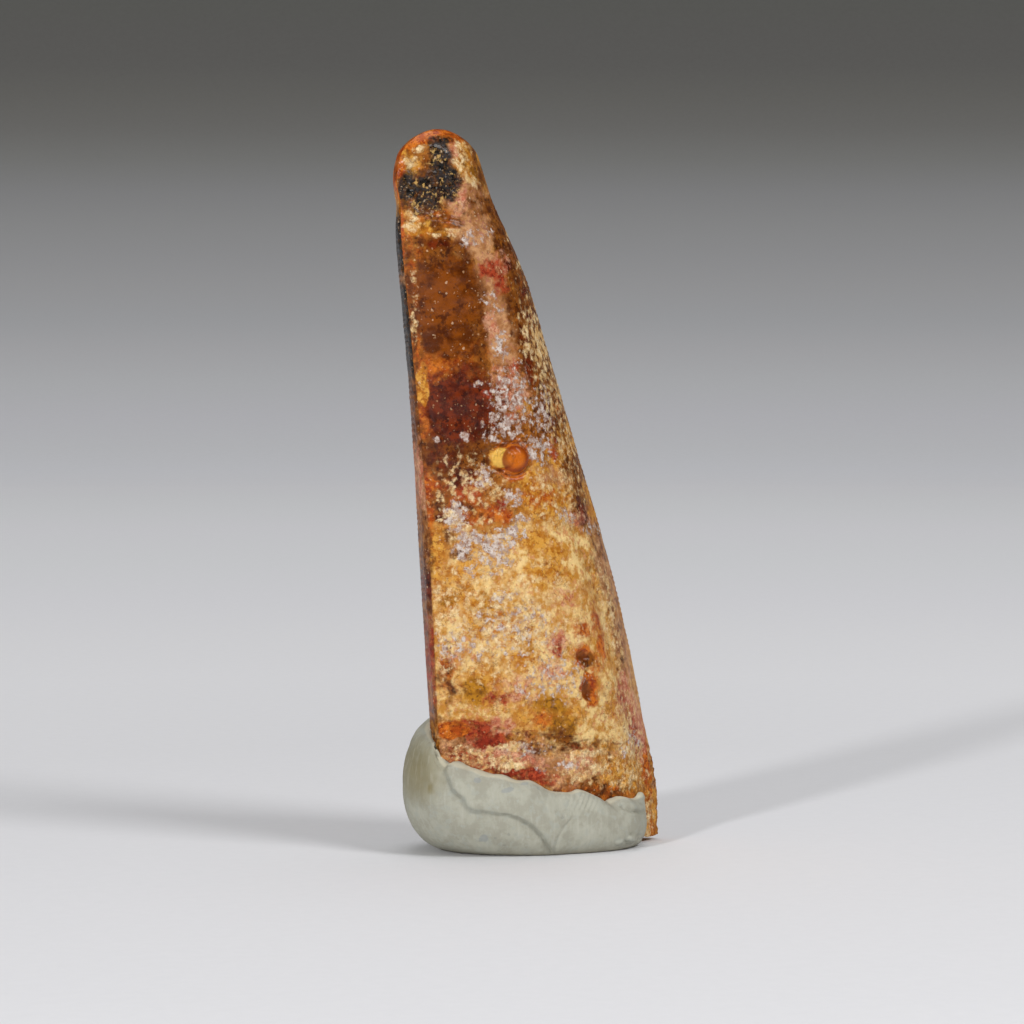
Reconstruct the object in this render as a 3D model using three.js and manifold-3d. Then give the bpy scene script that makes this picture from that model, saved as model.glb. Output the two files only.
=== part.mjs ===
// A large meat-eater's fossil tooth, held upright in a lump of grey modelling clay.
// Millimetres, Z up. X runs across the broad side of the tooth and Y through its thickness.
// The show face looks towards -Y. The rear edge is at -X, the fore edge, a thin keel, at +X.

import * as THREE from 'three';
import { mergeVertices } from 'three/addons/utils/BufferGeometryUtils.js';
import Module from 'manifold-3d';

// Outline of the tooth by height: where its rear and fore edges run, how wide the flat heel behind
// the rear edge is, and how far the rear edge stands off the middle plane.
const OUTLINE = [
  { z: 0, rear: -12.75, fore: 13.6, heel: 0.8, offset: -1.55 },
  { z: 6, rear: -12.85, fore: 13.3, heel: 0.8, offset: -1.65 },
  { z: 13, rear: -13.6, fore: 11.7, heel: 0.9, offset: -1.9 },
  { z: 21, rear: -14.1, fore: 9.9, heel: 1.5, offset: -2.2 },
  { z: 31, rear: -14.6, fore: 7.1, heel: 1.9, offset: -2.1 },
  { z: 41, rear: -15.3, fore: 3.75, heel: 1.5, offset: -1.85 },
  { z: 51, rear: -16.25, fore: 0.4, heel: 1.0, offset: -1.6 },
  { z: 60, rear: -17.1, fore: -2.8, heel: 0.95, offset: -1.35 },
  { z: 64, rear: -17.45, fore: -4.75, heel: 0.9, offset: -1.25 },
  { z: 66.3, rear: -17.45, fore: -6.0, heel: 0.6, offset: -1.2 },
  { z: 69, rear: -17.85, fore: -7.05, heel: 0.5, offset: -1.1 },
  { z: 75.3, rear: -15.95, fore: -9.25, heel: 0.4, offset: -0.9 },
];
const TOOTH_TOP = 74.2;
const DOME_START = 71.3;
const CREST = 0.56;
const SHOW_BULGE = 0.2;
const BACK_BULGE = 0.25;
const FORE_OFFSET = 0.02;
const CREST_POWER = 2;
const FORE_POWER = 2.1;

// Root: broken off low, with only the keel reaching down beside the clay.
const KEEL_FOOT = 0.45;
const ROOT_FOOT = 2.2;
const KEEL_SHARE = 0.9;
const FOOT_FADE = 8;

// Relief of the faces: the enamel's lower edge, the groove beside the keel, the chipped tip.
const ENAMEL_EDGE = { rear: 13.8, fore: 9.6, height: 0.22, slope: 0.7 };
const KEEL_GROOVE = { fromFore: 2.4, spread: 0.08, width: 0.9, depth: 0.32, top: 44, fade: 9 };
const TIP_CHIP = { across: 0.3, z: 68.6, acrossRadius: 0.34, zRadius: 4, depth: 0.5 };
const TIP_LEDGE = { rear: 65.5, fore: 62.9, slope: 0.6, depth: 0.16 };
const LUMP = { height: 0.1, length: 2.1 };

// Denticles along both edges, worn low.
const DENTICLE_PITCH = 0.56;
const DENTICLE_HEIGHT = 0.17;
const REAR_DENTICLES = { from: 13, to: 65 };
const FORE_DENTICLES = { from: 11, to: 68 };

// Single marks on the show face: a round bead and two oval pits.
const BEAD = { across: 0.448, z: 40.4, radius: 1.3, flatness: 0.5 };
const PITS = [
  { across: 0.642, z: 20.2, wide: 0.75, tall: 0.65, deep: 0.45 },
  { across: 0.655, z: 17, wide: 0.7, tall: 1.2, deep: 0.5 },
];

// Clay lump, station by station round its middle: how far its widest level reaches and how high that
// is, how far its foot reaches, how high it climbs the tooth and how far from the middle that edge is.
const CLAY_MIDDLE = { x: -1.5, y: 0.8 };
const CLAY = [
  { turn: 0, wide: 12.9, wideZ: 2.4, foot: 11.0, lipZ: 4.6, lip: 10.9 },
  { turn: 20, wide: 13.5, wideZ: 3.0, foot: 11.5, lipZ: 5.6, lip: 9.1 },
  { turn: 40, wide: 12.3, wideZ: 4.2, foot: 9.6, lipZ: 8.0, lip: 7.1 },
  { turn: 60, wide: 10.9, wideZ: 5.4, foot: 8.2, lipZ: 11.0, lip: 5.7 },
  { turn: 80, wide: 10.4, wideZ: 6.2, foot: 7.4, lipZ: 13.2, lip: 4.9 },
  { turn: 100, wide: 10.7, wideZ: 6.6, foot: 7.4, lipZ: 14.4, lip: 4.8 },
  { turn: 120, wide: 11.5, wideZ: 6.9, foot: 7.8, lipZ: 14.9, lip: 5.1 },
  { turn: 140, wide: 12.5, wideZ: 7.0, foot: 8.4, lipZ: 14.6, lip: 6.3 },
  { turn: 160, wide: 13.4, wideZ: 6.9, foot: 8.8, lipZ: 13.9, lip: 8.2 },
  { turn: 180, wide: 13.9, wideZ: 6.6, foot: 8.2, lipZ: 12.2, lip: 10.8 },
  { turn: 200, wide: 12.9, wideZ: 5.9, foot: 7.2, lipZ: 10.4, lip: 10.1 },
  { turn: 220, wide: 10.2, wideZ: 4.9, foot: 6.6, lipZ: 9.6, lip: 7.7 },
  { turn: 240, wide: 8.8, wideZ: 4.0, foot: 6.4, lipZ: 8.6, lip: 6.4 },
  { turn: 260, wide: 8.2, wideZ: 3.4, foot: 6.4, lipZ: 7.6, lip: 5.8 },
  { turn: 280, wide: 8.4, wideZ: 3.0, foot: 6.5, lipZ: 6.8, lip: 5.8 },
  { turn: 300, wide: 9.6, wideZ: 2.8, foot: 7.6, lipZ: 6.1, lip: 6.6 },
  { turn: 320, wide: 11.3, wideZ: 2.6, foot: 9.3, lipZ: 5.4, lip: 7.8 },
  { turn: 340, wide: 12.2, wideZ: 2.4, foot: 10.8, lipZ: 5.0, lip: 10.0 },
];
const CLAY_TOP = 9.5;
const CLAY_LUMP = 0.14;

// The clay's fold, seen square on to its show side, which is turned from the tooth's own face.
// Points run from the rear, high up, to the foot. The clay above them overlaps the clay below.
const SHOW_TURN = THREE.MathUtils.degToRad(-28);
const FOLD = [[-10.3, 7], [-9.4, 5.5], [-8.2, 4.1], [-5.2, 3.6], [-2.9, 3], [-0.7, 1.4], [0.6, -0.5]];
const FOLD_STEP = 0.4;
const FOLD_REACH = 3.2;
const CLEARANCE = 0.3;

// The point of the table under the middle of the whole specimen, which is moved onto the origin.
const TABLE_MIDDLE = { x: -2.1, y: 1.86 };

// How finely each surface is cut into facets.
const SHOW_COLUMNS = 24;
const BACK_COLUMNS = 18;
const ROW_HEIGHT = 1.5;
const DOME_ROWS = 7;
const CLAY_COLUMNS = 66;
const CLAY_ROWS = { foot: 3, under: 6, over: 9, top: 3 };
const POCKET_TOP = 24;
const POCKET_ROW_HEIGHT = 2.4;

const wasm = await Module();
wasm.setup();

function clamp01(value) {
  return THREE.MathUtils.clamp(value, 0, 1);
}

function smoothStep(value) {
  const t = clamp01(value);
  return t * t * (3 - 2 * t);
}

// A smooth curve through stations: value at a place between two of them, with given slopes.
function hermite(a, b, slopeA, slopeB, share, span) {
  const t = share;
  const rise = (1 + 2 * t) * (1 - t) ** 2 * a + t * t * (3 - 2 * t) * b;
  return rise + span * (t * (1 - t) ** 2 * slopeA + t * t * (t - 1) * slopeB);
}

function outlineAt(key, z) {
  const last = OUTLINE.length - 1;
  const slope = (i) => (OUTLINE[i + 1][key] - OUTLINE[i][key]) / (OUTLINE[i + 1].z - OUTLINE[i].z);
  const tangent = (i) => {
    if (i === 0) return slope(0);
    if (i === last) return slope(last - 1);
    const below = OUTLINE[i].z - OUTLINE[i - 1].z;
    const above = OUTLINE[i + 1].z - OUTLINE[i].z;
    return (slope(i - 1) * above + slope(i) * below) / (below + above);
  };
  let i = 0;
  while (i < last - 1 && OUTLINE[i + 1].z <= z) i += 1;
  const span = OUTLINE[i + 1].z - OUTLINE[i].z;
  const share = (z - OUTLINE[i].z) / span;
  return hermite(OUTLINE[i][key], OUTLINE[i + 1][key], tangent(i), tangent(i + 1), share, span);
}

function clayAt(key, turn) {
  const step = 360 / CLAY.length;
  const i = Math.floor(turn / step);
  const station = (k) => CLAY[(k + CLAY.length) % CLAY.length][key];
  const tangent = (k) => (station(k + 1) - station(k - 1)) / (2 * step);
  return hermite(station(i), station(i + 1), tangent(i), tangent(i + 1), turn / step - i, step);
}

function domeScale(z) {
  const t = clamp01((z - DOME_START) / (TOOTH_TOP - DOME_START));
  return Math.sqrt(1 - t * t);
}

// Low lumps, each a few millimetres long, different on the two faces.
function lumps(isShow, x, z) {
  const shift = isShow ? 0 : 2;
  const wave = Math.sin((x + 0.5 * z) / LUMP.length + shift) * Math.sin((0.7 * z - x) / LUMP.length - shift);
  return LUMP.height * wave;
}

// Height of the raised and sunk places on a face, outwards. across is 0 at the rear edge, 1 at the fore.
function relief(isShow, across, z, breadth) {
  const edgeFade = clamp01(across * 8) * clamp01((1 - across) * 14);
  const enamelEdge = THREE.MathUtils.lerp(ENAMEL_EDGE.rear, ENAMEL_EDGE.fore, across);
  let height = lumps(isShow, across * breadth, z);
  height += ENAMEL_EDGE.height * smoothStep((z - enamelEdge) / ENAMEL_EDGE.slope);
  const grooveAt = KEEL_GROOVE.fromFore + KEEL_GROOVE.spread * z;
  const fromGroove = ((1 - across) * breadth - grooveAt) / KEEL_GROOVE.width;
  const grooveFade = 1 - smoothStep((z - KEEL_GROOVE.top) / KEEL_GROOVE.fade);
  height -= KEEL_GROOVE.depth * Math.exp(-fromGroove * fromGroove) * grooveFade;
  if (isShow) {
    const chipAcross = (across - TIP_CHIP.across) / TIP_CHIP.acrossRadius;
    const chipZ = (z - TIP_CHIP.z) / TIP_CHIP.zRadius;
    height -= TIP_CHIP.depth * smoothStep(1.3 * (1 - chipAcross * chipAcross - chipZ * chipZ));
  }
  const ledge = THREE.MathUtils.lerp(TIP_LEDGE.rear, TIP_LEDGE.fore, across);
  height -= TIP_LEDGE.depth * smoothStep((z - ledge) / TIP_LEDGE.slope);
  return height * edgeFade;
}

// A point on one face of the tooth, pushed outwards by the clearance where a pocket is wanted.
function toothPoint(isShow, across, z, clearance = 0) {
  const rear = outlineAt('rear', z);
  const fore = outlineAt('fore', z);
  const offset = outlineAt('offset', z);
  const breadth = fore - rear;
  const foreY = FORE_OFFSET * breadth;
  const fromCrest = Math.abs(across - CREST) / (across < CREST ? CREST : 1 - CREST);
  let y;
  if (isShow) {
    const bulge = 1 - fromCrest ** (across < CREST ? CREST_POWER : FORE_POWER);
    y = offset * (1 - across) + foreY * across - SHOW_BULGE * breadth * bulge;
  } else if (across < CREST) {
    const heelY = offset + outlineAt('heel', z);
    y = heelY + (BACK_BULGE * breadth - heelY) * Math.sqrt(1 - fromCrest * fromCrest);
  } else {
    y = foreY + (BACK_BULGE * breadth - foreY) * (1 - fromCrest * fromCrest);
  }
  const side = isShow ? -1 : 1;
  const scale = domeScale(z);
  const middle = (rear + fore) / 2;
  const spread = 2 * across - 1;
  const x = middle + (rear + breadth * across - middle) * scale + clearance * spread * 1.4;
  y += side * relief(isShow, across, z, breadth);
  return new THREE.Vector3(x, y * scale + side * clearance, z);
}

// Level on the tooth's broken root: only the keel side comes down low.
function rootZ(across, level) {
  const lift = ROOT_FOOT - (ROOT_FOOT - KEEL_FOOT) * smoothStep((across - KEEL_SHARE + 0.08) / 0.1);
  return level + lift * (1 - clamp01(level / FOOT_FADE));
}

function plainLevels(top, rowHeight) {
  const rows = Math.round(top / rowHeight);
  return Array.from({ length: rows + 1 }, (_, i) => (top * i) / rows);
}

function domeLevels() {
  const levels = [];
  for (let i = 1; i < DOME_ROWS; i += 1) {
    levels.push(DOME_START + (TOOTH_TOP - DOME_START) * Math.sin((i / DOME_ROWS) * (Math.PI / 2)));
  }
  return levels;
}

// Levels of an edge with denticles: two per denticle within the range, plain ones beyond it.
function denticleLevels(range, levels) {
  const count = Math.round((range.to - range.from) / DENTICLE_PITCH) * 2;
  const fine = Array.from({ length: count }, (_, i) => range.from + (i * DENTICLE_PITCH) / 2);
  const low = levels.filter((z) => z < range.from - DENTICLE_PITCH / 2);
  const high = levels.filter((z) => z > range.to + DENTICLE_PITCH / 2);
  return [...low, ...fine, ...high];
}

function denticleOut(range, z) {
  const index = Math.round(((z - range.from) * 2) / DENTICLE_PITCH);
  const inside = z >= range.from - 0.01 && z <= range.to;
  return inside && index % 2 === 1 ? DENTICLE_HEIGHT : 0;
}

// The strip of facets between two upright lines of points, which may have different counts.
function stitch(corners, a, b) {
  let i = 0;
  let k = 0;
  while (i < a.length - 1 || k < b.length - 1) {
    const upA = k === b.length - 1 || (i < a.length - 1 && a[i + 1].z <= b[k + 1].z);
    corners.push(a[i], b[k], upA ? a[i + 1] : b[k + 1]);
    if (upA) i += 1;
    else k += 1;
  }
}

function capRing(corners, ring, isTop) {
  const flat = ring.map((p) => new THREE.Vector2(p.x, p.y));
  for (const [a, b, c] of THREE.ShapeUtils.triangulateShape(flat, [])) {
    const up = (flat[b].x - flat[a].x) * (flat[c].y - flat[a].y);
    const turnsLeft = up - (flat[b].y - flat[a].y) * (flat[c].x - flat[a].x) > 0;
    if (turnsLeft === isTop) corners.push(ring[a], ring[b], ring[c]);
    else corners.push(ring[a], ring[c], ring[b]);
  }
}

function closedGeometry(corners) {
  const geometry = new THREE.BufferGeometry();
  const values = corners.flatMap((p) => [p.x, p.y, p.z]);
  geometry.setAttribute('position', new THREE.Float32BufferAttribute(values, 3));
  return mergeVertices(geometry, 1e-4);
}

function solidFrom(source) {
  const bare = source.clone();
  bare.deleteAttribute('normal');
  bare.deleteAttribute('uv');
  const merged = mergeVertices(bare, 1e-4);
  const vertProperties = new Float32Array(merged.getAttribute('position').array);
  const triVerts = new Uint32Array(merged.getIndex().array);
  return new wasm.Manifold(new wasm.Mesh({ numProp: 3, vertProperties, triVerts }));
}

function geometryFrom(solid) {
  const { vertProperties, triVerts } = solid.getMesh();
  const geometry = new THREE.BufferGeometry();
  geometry.setAttribute('position', new THREE.BufferAttribute(new Float32Array(vertProperties), 3));
  geometry.setIndex(new THREE.BufferAttribute(new Uint32Array(triVerts), 1));
  return geometry;
}

function columnShares(count) {
  return Array.from({ length: count + 1 }, (_, i) => (1 - Math.cos((Math.PI * i) / count)) / 2);
}

// Upright lines round the tooth: the show face from rear to fore edge, then the back face home again.
function toothColumns(levels, clearance, denticled) {
  const line = (isShow, across, zs) => zs.map((level) =>
    toothPoint(isShow, across, rootZ(across, level), clearance));
  const edge = (across, range, outward) => {
    if (!denticled) return line(true, across, levels);
    const points = line(true, across, denticleLevels(range, levels));
    for (const point of points) point.x += outward * denticleOut(range, point.z);
    return points;
  };
  const columns = [edge(0, REAR_DENTICLES, -1)];
  for (const across of columnShares(SHOW_COLUMNS).slice(1, -1)) columns.push(line(true, across, levels));
  columns.push(edge(1, FORE_DENTICLES, 1));
  for (const across of columnShares(BACK_COLUMNS).slice(0, -1).reverse()) {
    columns.push(line(false, across, levels));
  }
  return columns;
}

function loft(columns) {
  const corners = [];
  columns.forEach((column, i) => stitch(corners, column, columns[(i + 1) % columns.length]));
  return corners;
}

function buildTooth() {
  const levels = [...plainLevels(DOME_START, ROW_HEIGHT), ...domeLevels()];
  const columns = toothColumns(levels, 0, true);
  const corners = loft(columns);
  capRing(corners, columns.map((column) => column[0]), false);
  const apex = toothPoint(true, CREST, TOOTH_TOP);
  columns.forEach((column, i) => {
    corners.push(column.at(-1), columns[(i + 1) % columns.length].at(-1), apex);
  });
  let solid = solidFrom(closedGeometry(corners));
  const bead = new THREE.IcosahedronGeometry(BEAD.radius, 3);
  bead.scale(1, BEAD.flatness, 1);
  solid = solid.add(solidFrom(placeOnFace(bead, BEAD)));
  for (const pit of PITS) {
    const hollow = new THREE.IcosahedronGeometry(1, 2);
    hollow.scale(pit.wide, pit.deep, pit.tall);
    solid = solid.subtract(solidFrom(placeOnFace(hollow, pit)));
  }
  return geometryFrom(solid);
}

// Lays a small form flat on the show face, turned to the slope of the face there.
function placeOnFace(geometry, { across, z }) {
  const here = toothPoint(true, across, z);
  const beside = toothPoint(true, across + 0.03, z);
  geometry.rotateZ(Math.atan2(beside.y - here.y, beside.x - here.x));
  geometry.translate(here.x, here.y, here.z);
  return geometry;
}

// The room that the tooth's root takes up in the clay, with a little clearance all round.
function pocketGeometry() {
  const columns = toothColumns(plainLevels(POCKET_TOP, POCKET_ROW_HEIGHT), CLEARANCE, false);
  for (const column of columns) column[0].z -= CLEARANCE;
  const corners = loft(columns);
  capRing(corners, columns.map((column) => column[0]), false);
  capRing(corners, columns.map((column) => column.at(-1)), true);
  return closedGeometry(corners);
}

// How far the folded-over clay stands out at a place on the lump.
function foldOut(x, y, z) {
  const right = x * Math.cos(SHOW_TURN) + y * Math.sin(SHOW_TURN);
  const towards = x * Math.sin(SHOW_TURN) - y * Math.cos(SHOW_TURN);
  const last = FOLD.length - 1;
  if (towards < 0 || right < FOLD[0][0] || right > FOLD[last][0] + FOLD_REACH) return 0;
  let i = 0;
  while (i < last - 1 && FOLD[i + 1][0] < right) i += 1;
  const share = clamp01((right - FOLD[i][0]) / (FOLD[i + 1][0] - FOLD[i][0]));
  const above = z - THREE.MathUtils.lerp(FOLD[i][1], FOLD[i + 1][1], share);
  return FOLD_STEP * smoothStep(above / 0.5 + 0.5) * (1 - smoothStep(above / FOLD_REACH));
}

// One point of the clay's profile: along the foot, under the bulge, over it, or in towards the top.
function clayProfile(turn, part, share) {
  const wide = clayAt('wide', turn);
  const wideZ = clayAt('wideZ', turn);
  const foot = clayAt('foot', turn);
  const lip = clayAt('lip', turn);
  const lipZ = clayAt('lipZ', turn);
  const angle = share * (Math.PI / 2);
  if (part === 'foot') return [foot * share, 0];
  if (part === 'under') return [foot + (wide - foot) * Math.sin(angle), wideZ * (1 - Math.cos(angle))];
  if (part === 'over') {
    return [lip + (wide - lip) * Math.cos(angle), wideZ + (lipZ - wideZ) * Math.sin(angle)];
  }
  return [lip * (1 - share), THREE.MathUtils.lerp(lipZ, CLAY_TOP, share)];
}

function clayPoint(turn, part, share) {
  const [out, z] = clayProfile(turn, part, share);
  const angle = THREE.MathUtils.degToRad(turn);
  const x = CLAY_MIDDLE.x + out * Math.cos(angle);
  const y = CLAY_MIDDLE.y + out * Math.sin(angle);
  const lump = CLAY_LUMP * Math.sin(0.9 * x + 0.6 * z) * Math.cos(0.8 * y - 0.7 * z) * clamp01(z);
  const grown = out > 0 ? 1 + (lump + foldOut(x, y, z)) / out : 1;
  return new THREE.Vector3(
    CLAY_MIDDLE.x + (x - CLAY_MIDDLE.x) * grown,
    CLAY_MIDDLE.y + (y - CLAY_MIDDLE.y) * grown,
    z,
  );
}

function clayLines() {
  const lines = [];
  for (let c = 0; c < CLAY_COLUMNS; c += 1) {
    const turn = (360 * c) / CLAY_COLUMNS;
    const line = [];
    for (const [part, rows] of Object.entries(CLAY_ROWS)) {
      const first = part === 'foot' ? 1 : 0;
      for (let i = first; i < rows; i += 1) line.push(clayPoint(turn, part, i / rows));
    }
    lines.push(line);
  }
  return lines;
}

function buildClay() {
  const lines = clayLines();
  const under = new THREE.Vector3(CLAY_MIDDLE.x, CLAY_MIDDLE.y, 0);
  const over = new THREE.Vector3(CLAY_MIDDLE.x, CLAY_MIDDLE.y, CLAY_TOP);
  const corners = [];
  lines.forEach((line, c) => {
    const next = lines[(c + 1) % lines.length];
    corners.push(under, next[0], line[0]);
    for (let i = 0; i < line.length - 1; i += 1) {
      corners.push(line[i], next[i], next[i + 1]);
      corners.push(line[i], next[i + 1], line[i + 1]);
    }
    corners.push(line.at(-1), next.at(-1), over);
  });
  const lump = solidFrom(closedGeometry(corners));
  return geometryFrom(lump.subtract(solidFrom(pocketGeometry())));
}

function namedMesh(name, geometry, color, roughness) {
  geometry.computeVertexNormals();
  const material = new THREE.MeshStandardMaterial({ color, roughness, metalness: 0, flatShading: true });
  const mesh = new THREE.Mesh(geometry, material);
  mesh.name = name;
  return mesh;
}

const specimen = new THREE.Group();
specimen.position.set(-TABLE_MIDDLE.x, -TABLE_MIDDLE.y, 0);
specimen.add(namedMesh('tooth', buildTooth(), 0xb57a33, 0.35));
specimen.add(namedMesh('putty_base', buildClay(), 0xa5aa9b, 0.85));

export default specimen;
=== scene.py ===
"""Visual model of a fossil meat-eater's tooth that stands in a lump of grey modelling clay."""

import logging
import math
from dataclasses import dataclass, field
from enum import Enum, IntEnum

import bpy
import numpy as np
from mathutils import Matrix, Vector


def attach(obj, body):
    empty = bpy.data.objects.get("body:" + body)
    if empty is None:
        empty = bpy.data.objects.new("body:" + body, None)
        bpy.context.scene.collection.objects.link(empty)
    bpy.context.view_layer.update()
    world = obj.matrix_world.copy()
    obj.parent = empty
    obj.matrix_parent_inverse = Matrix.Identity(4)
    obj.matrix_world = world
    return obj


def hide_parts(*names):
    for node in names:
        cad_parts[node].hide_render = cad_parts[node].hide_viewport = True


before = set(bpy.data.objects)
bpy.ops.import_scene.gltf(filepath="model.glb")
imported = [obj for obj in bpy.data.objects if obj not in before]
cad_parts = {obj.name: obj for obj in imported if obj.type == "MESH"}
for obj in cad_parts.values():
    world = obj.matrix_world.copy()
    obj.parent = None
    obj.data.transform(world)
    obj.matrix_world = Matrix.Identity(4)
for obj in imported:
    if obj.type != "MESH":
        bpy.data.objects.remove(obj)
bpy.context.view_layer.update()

LOG = logging.getLogger("specimen")
Socket = bpy.types.NodeSocket
MM = 0.001
# The specimen's plan is drawn in mm round a point of the table that this shift moves off the origin.
PLAN_SHIFT = np.array([2.1, -1.86, 0.0])
# The sight plane is square to the line of sight, which is turned and drops like this, from this far in mm.
SHOW_TURN = math.radians(-28)
SIGHT_DROP = math.radians(7.7)
SIGHT_DISTANCE = 443.3
# Whole numbers that scatter the lattice corners of the noise.
SCATTER = (374761393, 668265263, 1440662683, 97531)
STIR = ((13, 1274126177), (15, 2246822519))
LOW_WORD = 0xFFFFFFFF
LAYER_SHIFT = np.array([13.7, 5.1, 9.3])


def smooth_step(value: np.ndarray) -> np.ndarray:
    """Eased ramp from 0 to 1."""
    t = np.clip(value, 0, 1)
    return t * t * (3 - 2 * t)


def bell(distance: np.ndarray, width: float) -> np.ndarray:
    """Rounded hump that is 1 at no distance and fades over a width."""
    return np.exp(-((distance / width) ** 2))


def stations(table: list, column: int, place: np.ndarray, period: float = 0.0) -> np.ndarray:
    """Smooth curve through a table of stations.

    Args:
        table: rows of numbers whose first is the place of the station.
        column: which number of a row is wanted.
        place: places to read the curve at.
        period: length after which the table repeats, or 0 if it doesn't.

    Returns:
        The value at each place.
    """
    rows = np.array(table, float)
    if period:
        before, after = rows[-2:].copy(), rows[:2].copy()
        before[:, 0] -= period
        after[:, 0] += period
        rows = np.vstack([before, rows, after])
    at, value = rows[:, 0], rows[:, column]
    span = np.diff(at)
    slope = np.diff(value) / span
    tangent = np.empty_like(value)
    tangent[1:-1] = (slope[:-1] * span[1:] + slope[1:] * span[:-1]) / (span[1:] + span[:-1])
    tangent[0], tangent[-1] = slope[0], slope[-1]
    i = np.clip(np.searchsorted(at, place, side="right") - 1, 0, len(span) - 1)
    t = (place - at[i]) / span[i]
    rise = (1 + 2 * t) * (1 - t) ** 2 * value[i] + t * t * (3 - 2 * t) * value[i + 1]
    return rise + span[i] * (t * (1 - t) ** 2 * tangent[i] + t * t * (t - 1) * tangent[i + 1])


@dataclass(frozen=True)
class Grain:
    """Seeded smooth noise in space, between about -1 and 1."""

    seed: int
    swing: float = 1.7

    def _corner(self, cell: np.ndarray, offset: np.ndarray) -> np.ndarray:
        """Share of one lattice corner.

        Args:
            cell: whole-number lattice corner of each point.
            offset: place of each point from that corner.

        Returns:
            The corner's slope times the offset.
        """
        n = sum(cell[:, axis] * SCATTER[axis] for axis in range(3)) + self.seed * SCATTER[3]
        n = n & LOW_WORD
        for shift, factor in STIR:
            n = ((n ^ (n >> shift)) * factor) & LOW_WORD
        turn = (n & 0xFFFF) / 65536 * 2 * np.pi
        rise = ((n >> 16) & 0xFFFF) / 32768 - 1
        flat = np.sqrt(1 - rise * rise)
        return flat * (np.cos(turn) * offset[:, 0] + np.sin(turn) * offset[:, 1]) + rise * offset[:, 2]

    def at(self, points: np.ndarray, size: float) -> np.ndarray:
        """Noise at points.

        Args:
            points: places, in an array whose last axis is x, y, z.
            size: how big the lumps are.

        Returns:
            The noise at each point.
        """
        place = points.reshape(-1, 3) / size
        cell = np.floor(place).astype(np.int64)
        inside = place - cell
        ease = inside**3 * (inside * (inside * 6 - 15) + 10)
        total = np.zeros(len(place))
        for corner in np.ndindex(2, 2, 2):
            step = np.array(corner)
            share = np.prod(np.where(step == 1, ease, 1 - ease), axis=1)
            total += share * self._corner(cell + step, inside - step)
        return (total * self.swing).reshape(points.shape[:-1])

    def layers(self, points: np.ndarray, size: float, count: int = 3, gain: float = 0.5) -> np.ndarray:
        """Noise with finer layers on top.

        Args:
            points: places, in an array whose last axis is x, y, z.
            size: size of the coarsest lumps.
            count: number of layers, each half the size of the last.
            gain: strength of each layer beside the last.

        Returns:
            The noise at each point.
        """
        shifted = [self.at(points + LAYER_SHIFT * layer, size / 2**layer) for layer in range(count)]
        return sum(gain**layer * noise for layer, noise in enumerate(shifted))


def sight_plane(points: np.ndarray) -> tuple:
    """Where points are seen by someone who looks at the specimen from its show side.

    Args:
        points: places in the specimen's plan, in mm.

    Returns:
        How far each is to the right of the plan's middle and how far up, in mm square to the sight.
    """
    right = points[..., 0] * math.cos(SHOW_TURN) + points[..., 1] * math.sin(SHOW_TURN)
    towards = points[..., 0] * math.sin(SHOW_TURN) - points[..., 1] * math.cos(SHOW_TURN)
    nearer = SIGHT_DISTANCE / (SIGHT_DISTANCE - towards)
    up = points[..., 2] * math.cos(SIGHT_DROP) - towards * math.sin(SIGHT_DROP)
    return right * nearer, up * nearer


def from_polyline(right: np.ndarray, up: np.ndarray, line: tuple) -> tuple:
    """Nearest distance to a line of points on the sight plane.

    Args:
        right: places to the right, in mm.
        up: places upwards, in mm.
        line: points of the line.

    Returns:
        The distance to the line, with its side as the sign, and how far along the line it is, 0 to 1.
    """
    ends = np.array(line, float)
    best = signed = np.full(right.shape, np.inf)
    along = np.zeros(right.shape)
    for i in range(len(ends) - 1):
        (x0, y0), (x1, y1) = ends[i], ends[i + 1]
        dx, dy = x1 - x0, y1 - y0
        t = np.clip(((right - x0) * dx + (up - y0) * dy) / (dx * dx + dy * dy), 0, 1)
        away = np.hypot(right - x0 - t * dx, up - y0 - t * dy)
        side = np.sign(dx * (up - y0) - dy * (right - x0))
        closer = away < best
        best = np.where(closer, away, best)
        signed = np.where(closer, away * side, signed)
        along = np.where(closer, (i + t) / (len(ends) - 1), along)
    return signed, along


def ring_quads(rows: int, ring: int) -> np.ndarray:
    """Corner numbers of the four-sided faces between closed rings of vertices.

    Args:
        rows: number of rings.
        ring: number of vertices in a ring.

    Returns:
        The faces, one per row.
    """
    row, column = np.meshgrid(np.arange(rows - 1), np.arange(ring), indexing="ij")
    low, after = row * ring, (column + 1) % ring
    quads = np.stack([low + column, low + after, low + ring + after, low + ring + column], axis=-1)
    return quads.reshape(-1, 4)


def ring_caps(rows: int, ring: int) -> list:
    """Triangles that close rings of vertices with a point below and a point above.

    Args:
        rows: number of rings.
        ring: number of vertices in a ring.

    Returns:
        The faces; the lower point is the first vertex after the rings, and the upper one is the next.
    """
    last, under, caps = (rows - 1) * ring, rows * ring, []
    for i in range(ring):
        following = (i + 1) % ring
        caps += [(under, following, i), (last + i, last + following, under + 1)]
    return caps


def mesh_object(name: str, points: np.ndarray, quads: np.ndarray, others: list) -> bpy.types.Object:
    """Smooth-shaded mesh object from points in the specimen's plan.

    Args:
        name: name of the object.
        points: vertices in mm, one per row.
        quads: corner numbers of the four-sided faces, one face per row.
        others: corner numbers of the other faces.

    Returns:
        The new object, in metres, linked to the scene.
    """
    faces = quads.tolist() + [list(map(int, corners)) for corners in others]
    mesh = bpy.data.meshes.new(name)
    mesh.from_pydata(((points + PLAN_SHIFT) * MM).tolist(), [], faces)
    mesh.update()
    mesh.polygons.foreach_set("use_smooth", np.ones(len(mesh.polygons), bool))
    made = bpy.data.objects.new(name, mesh)
    bpy.context.scene.collection.objects.link(made)
    return made


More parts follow.
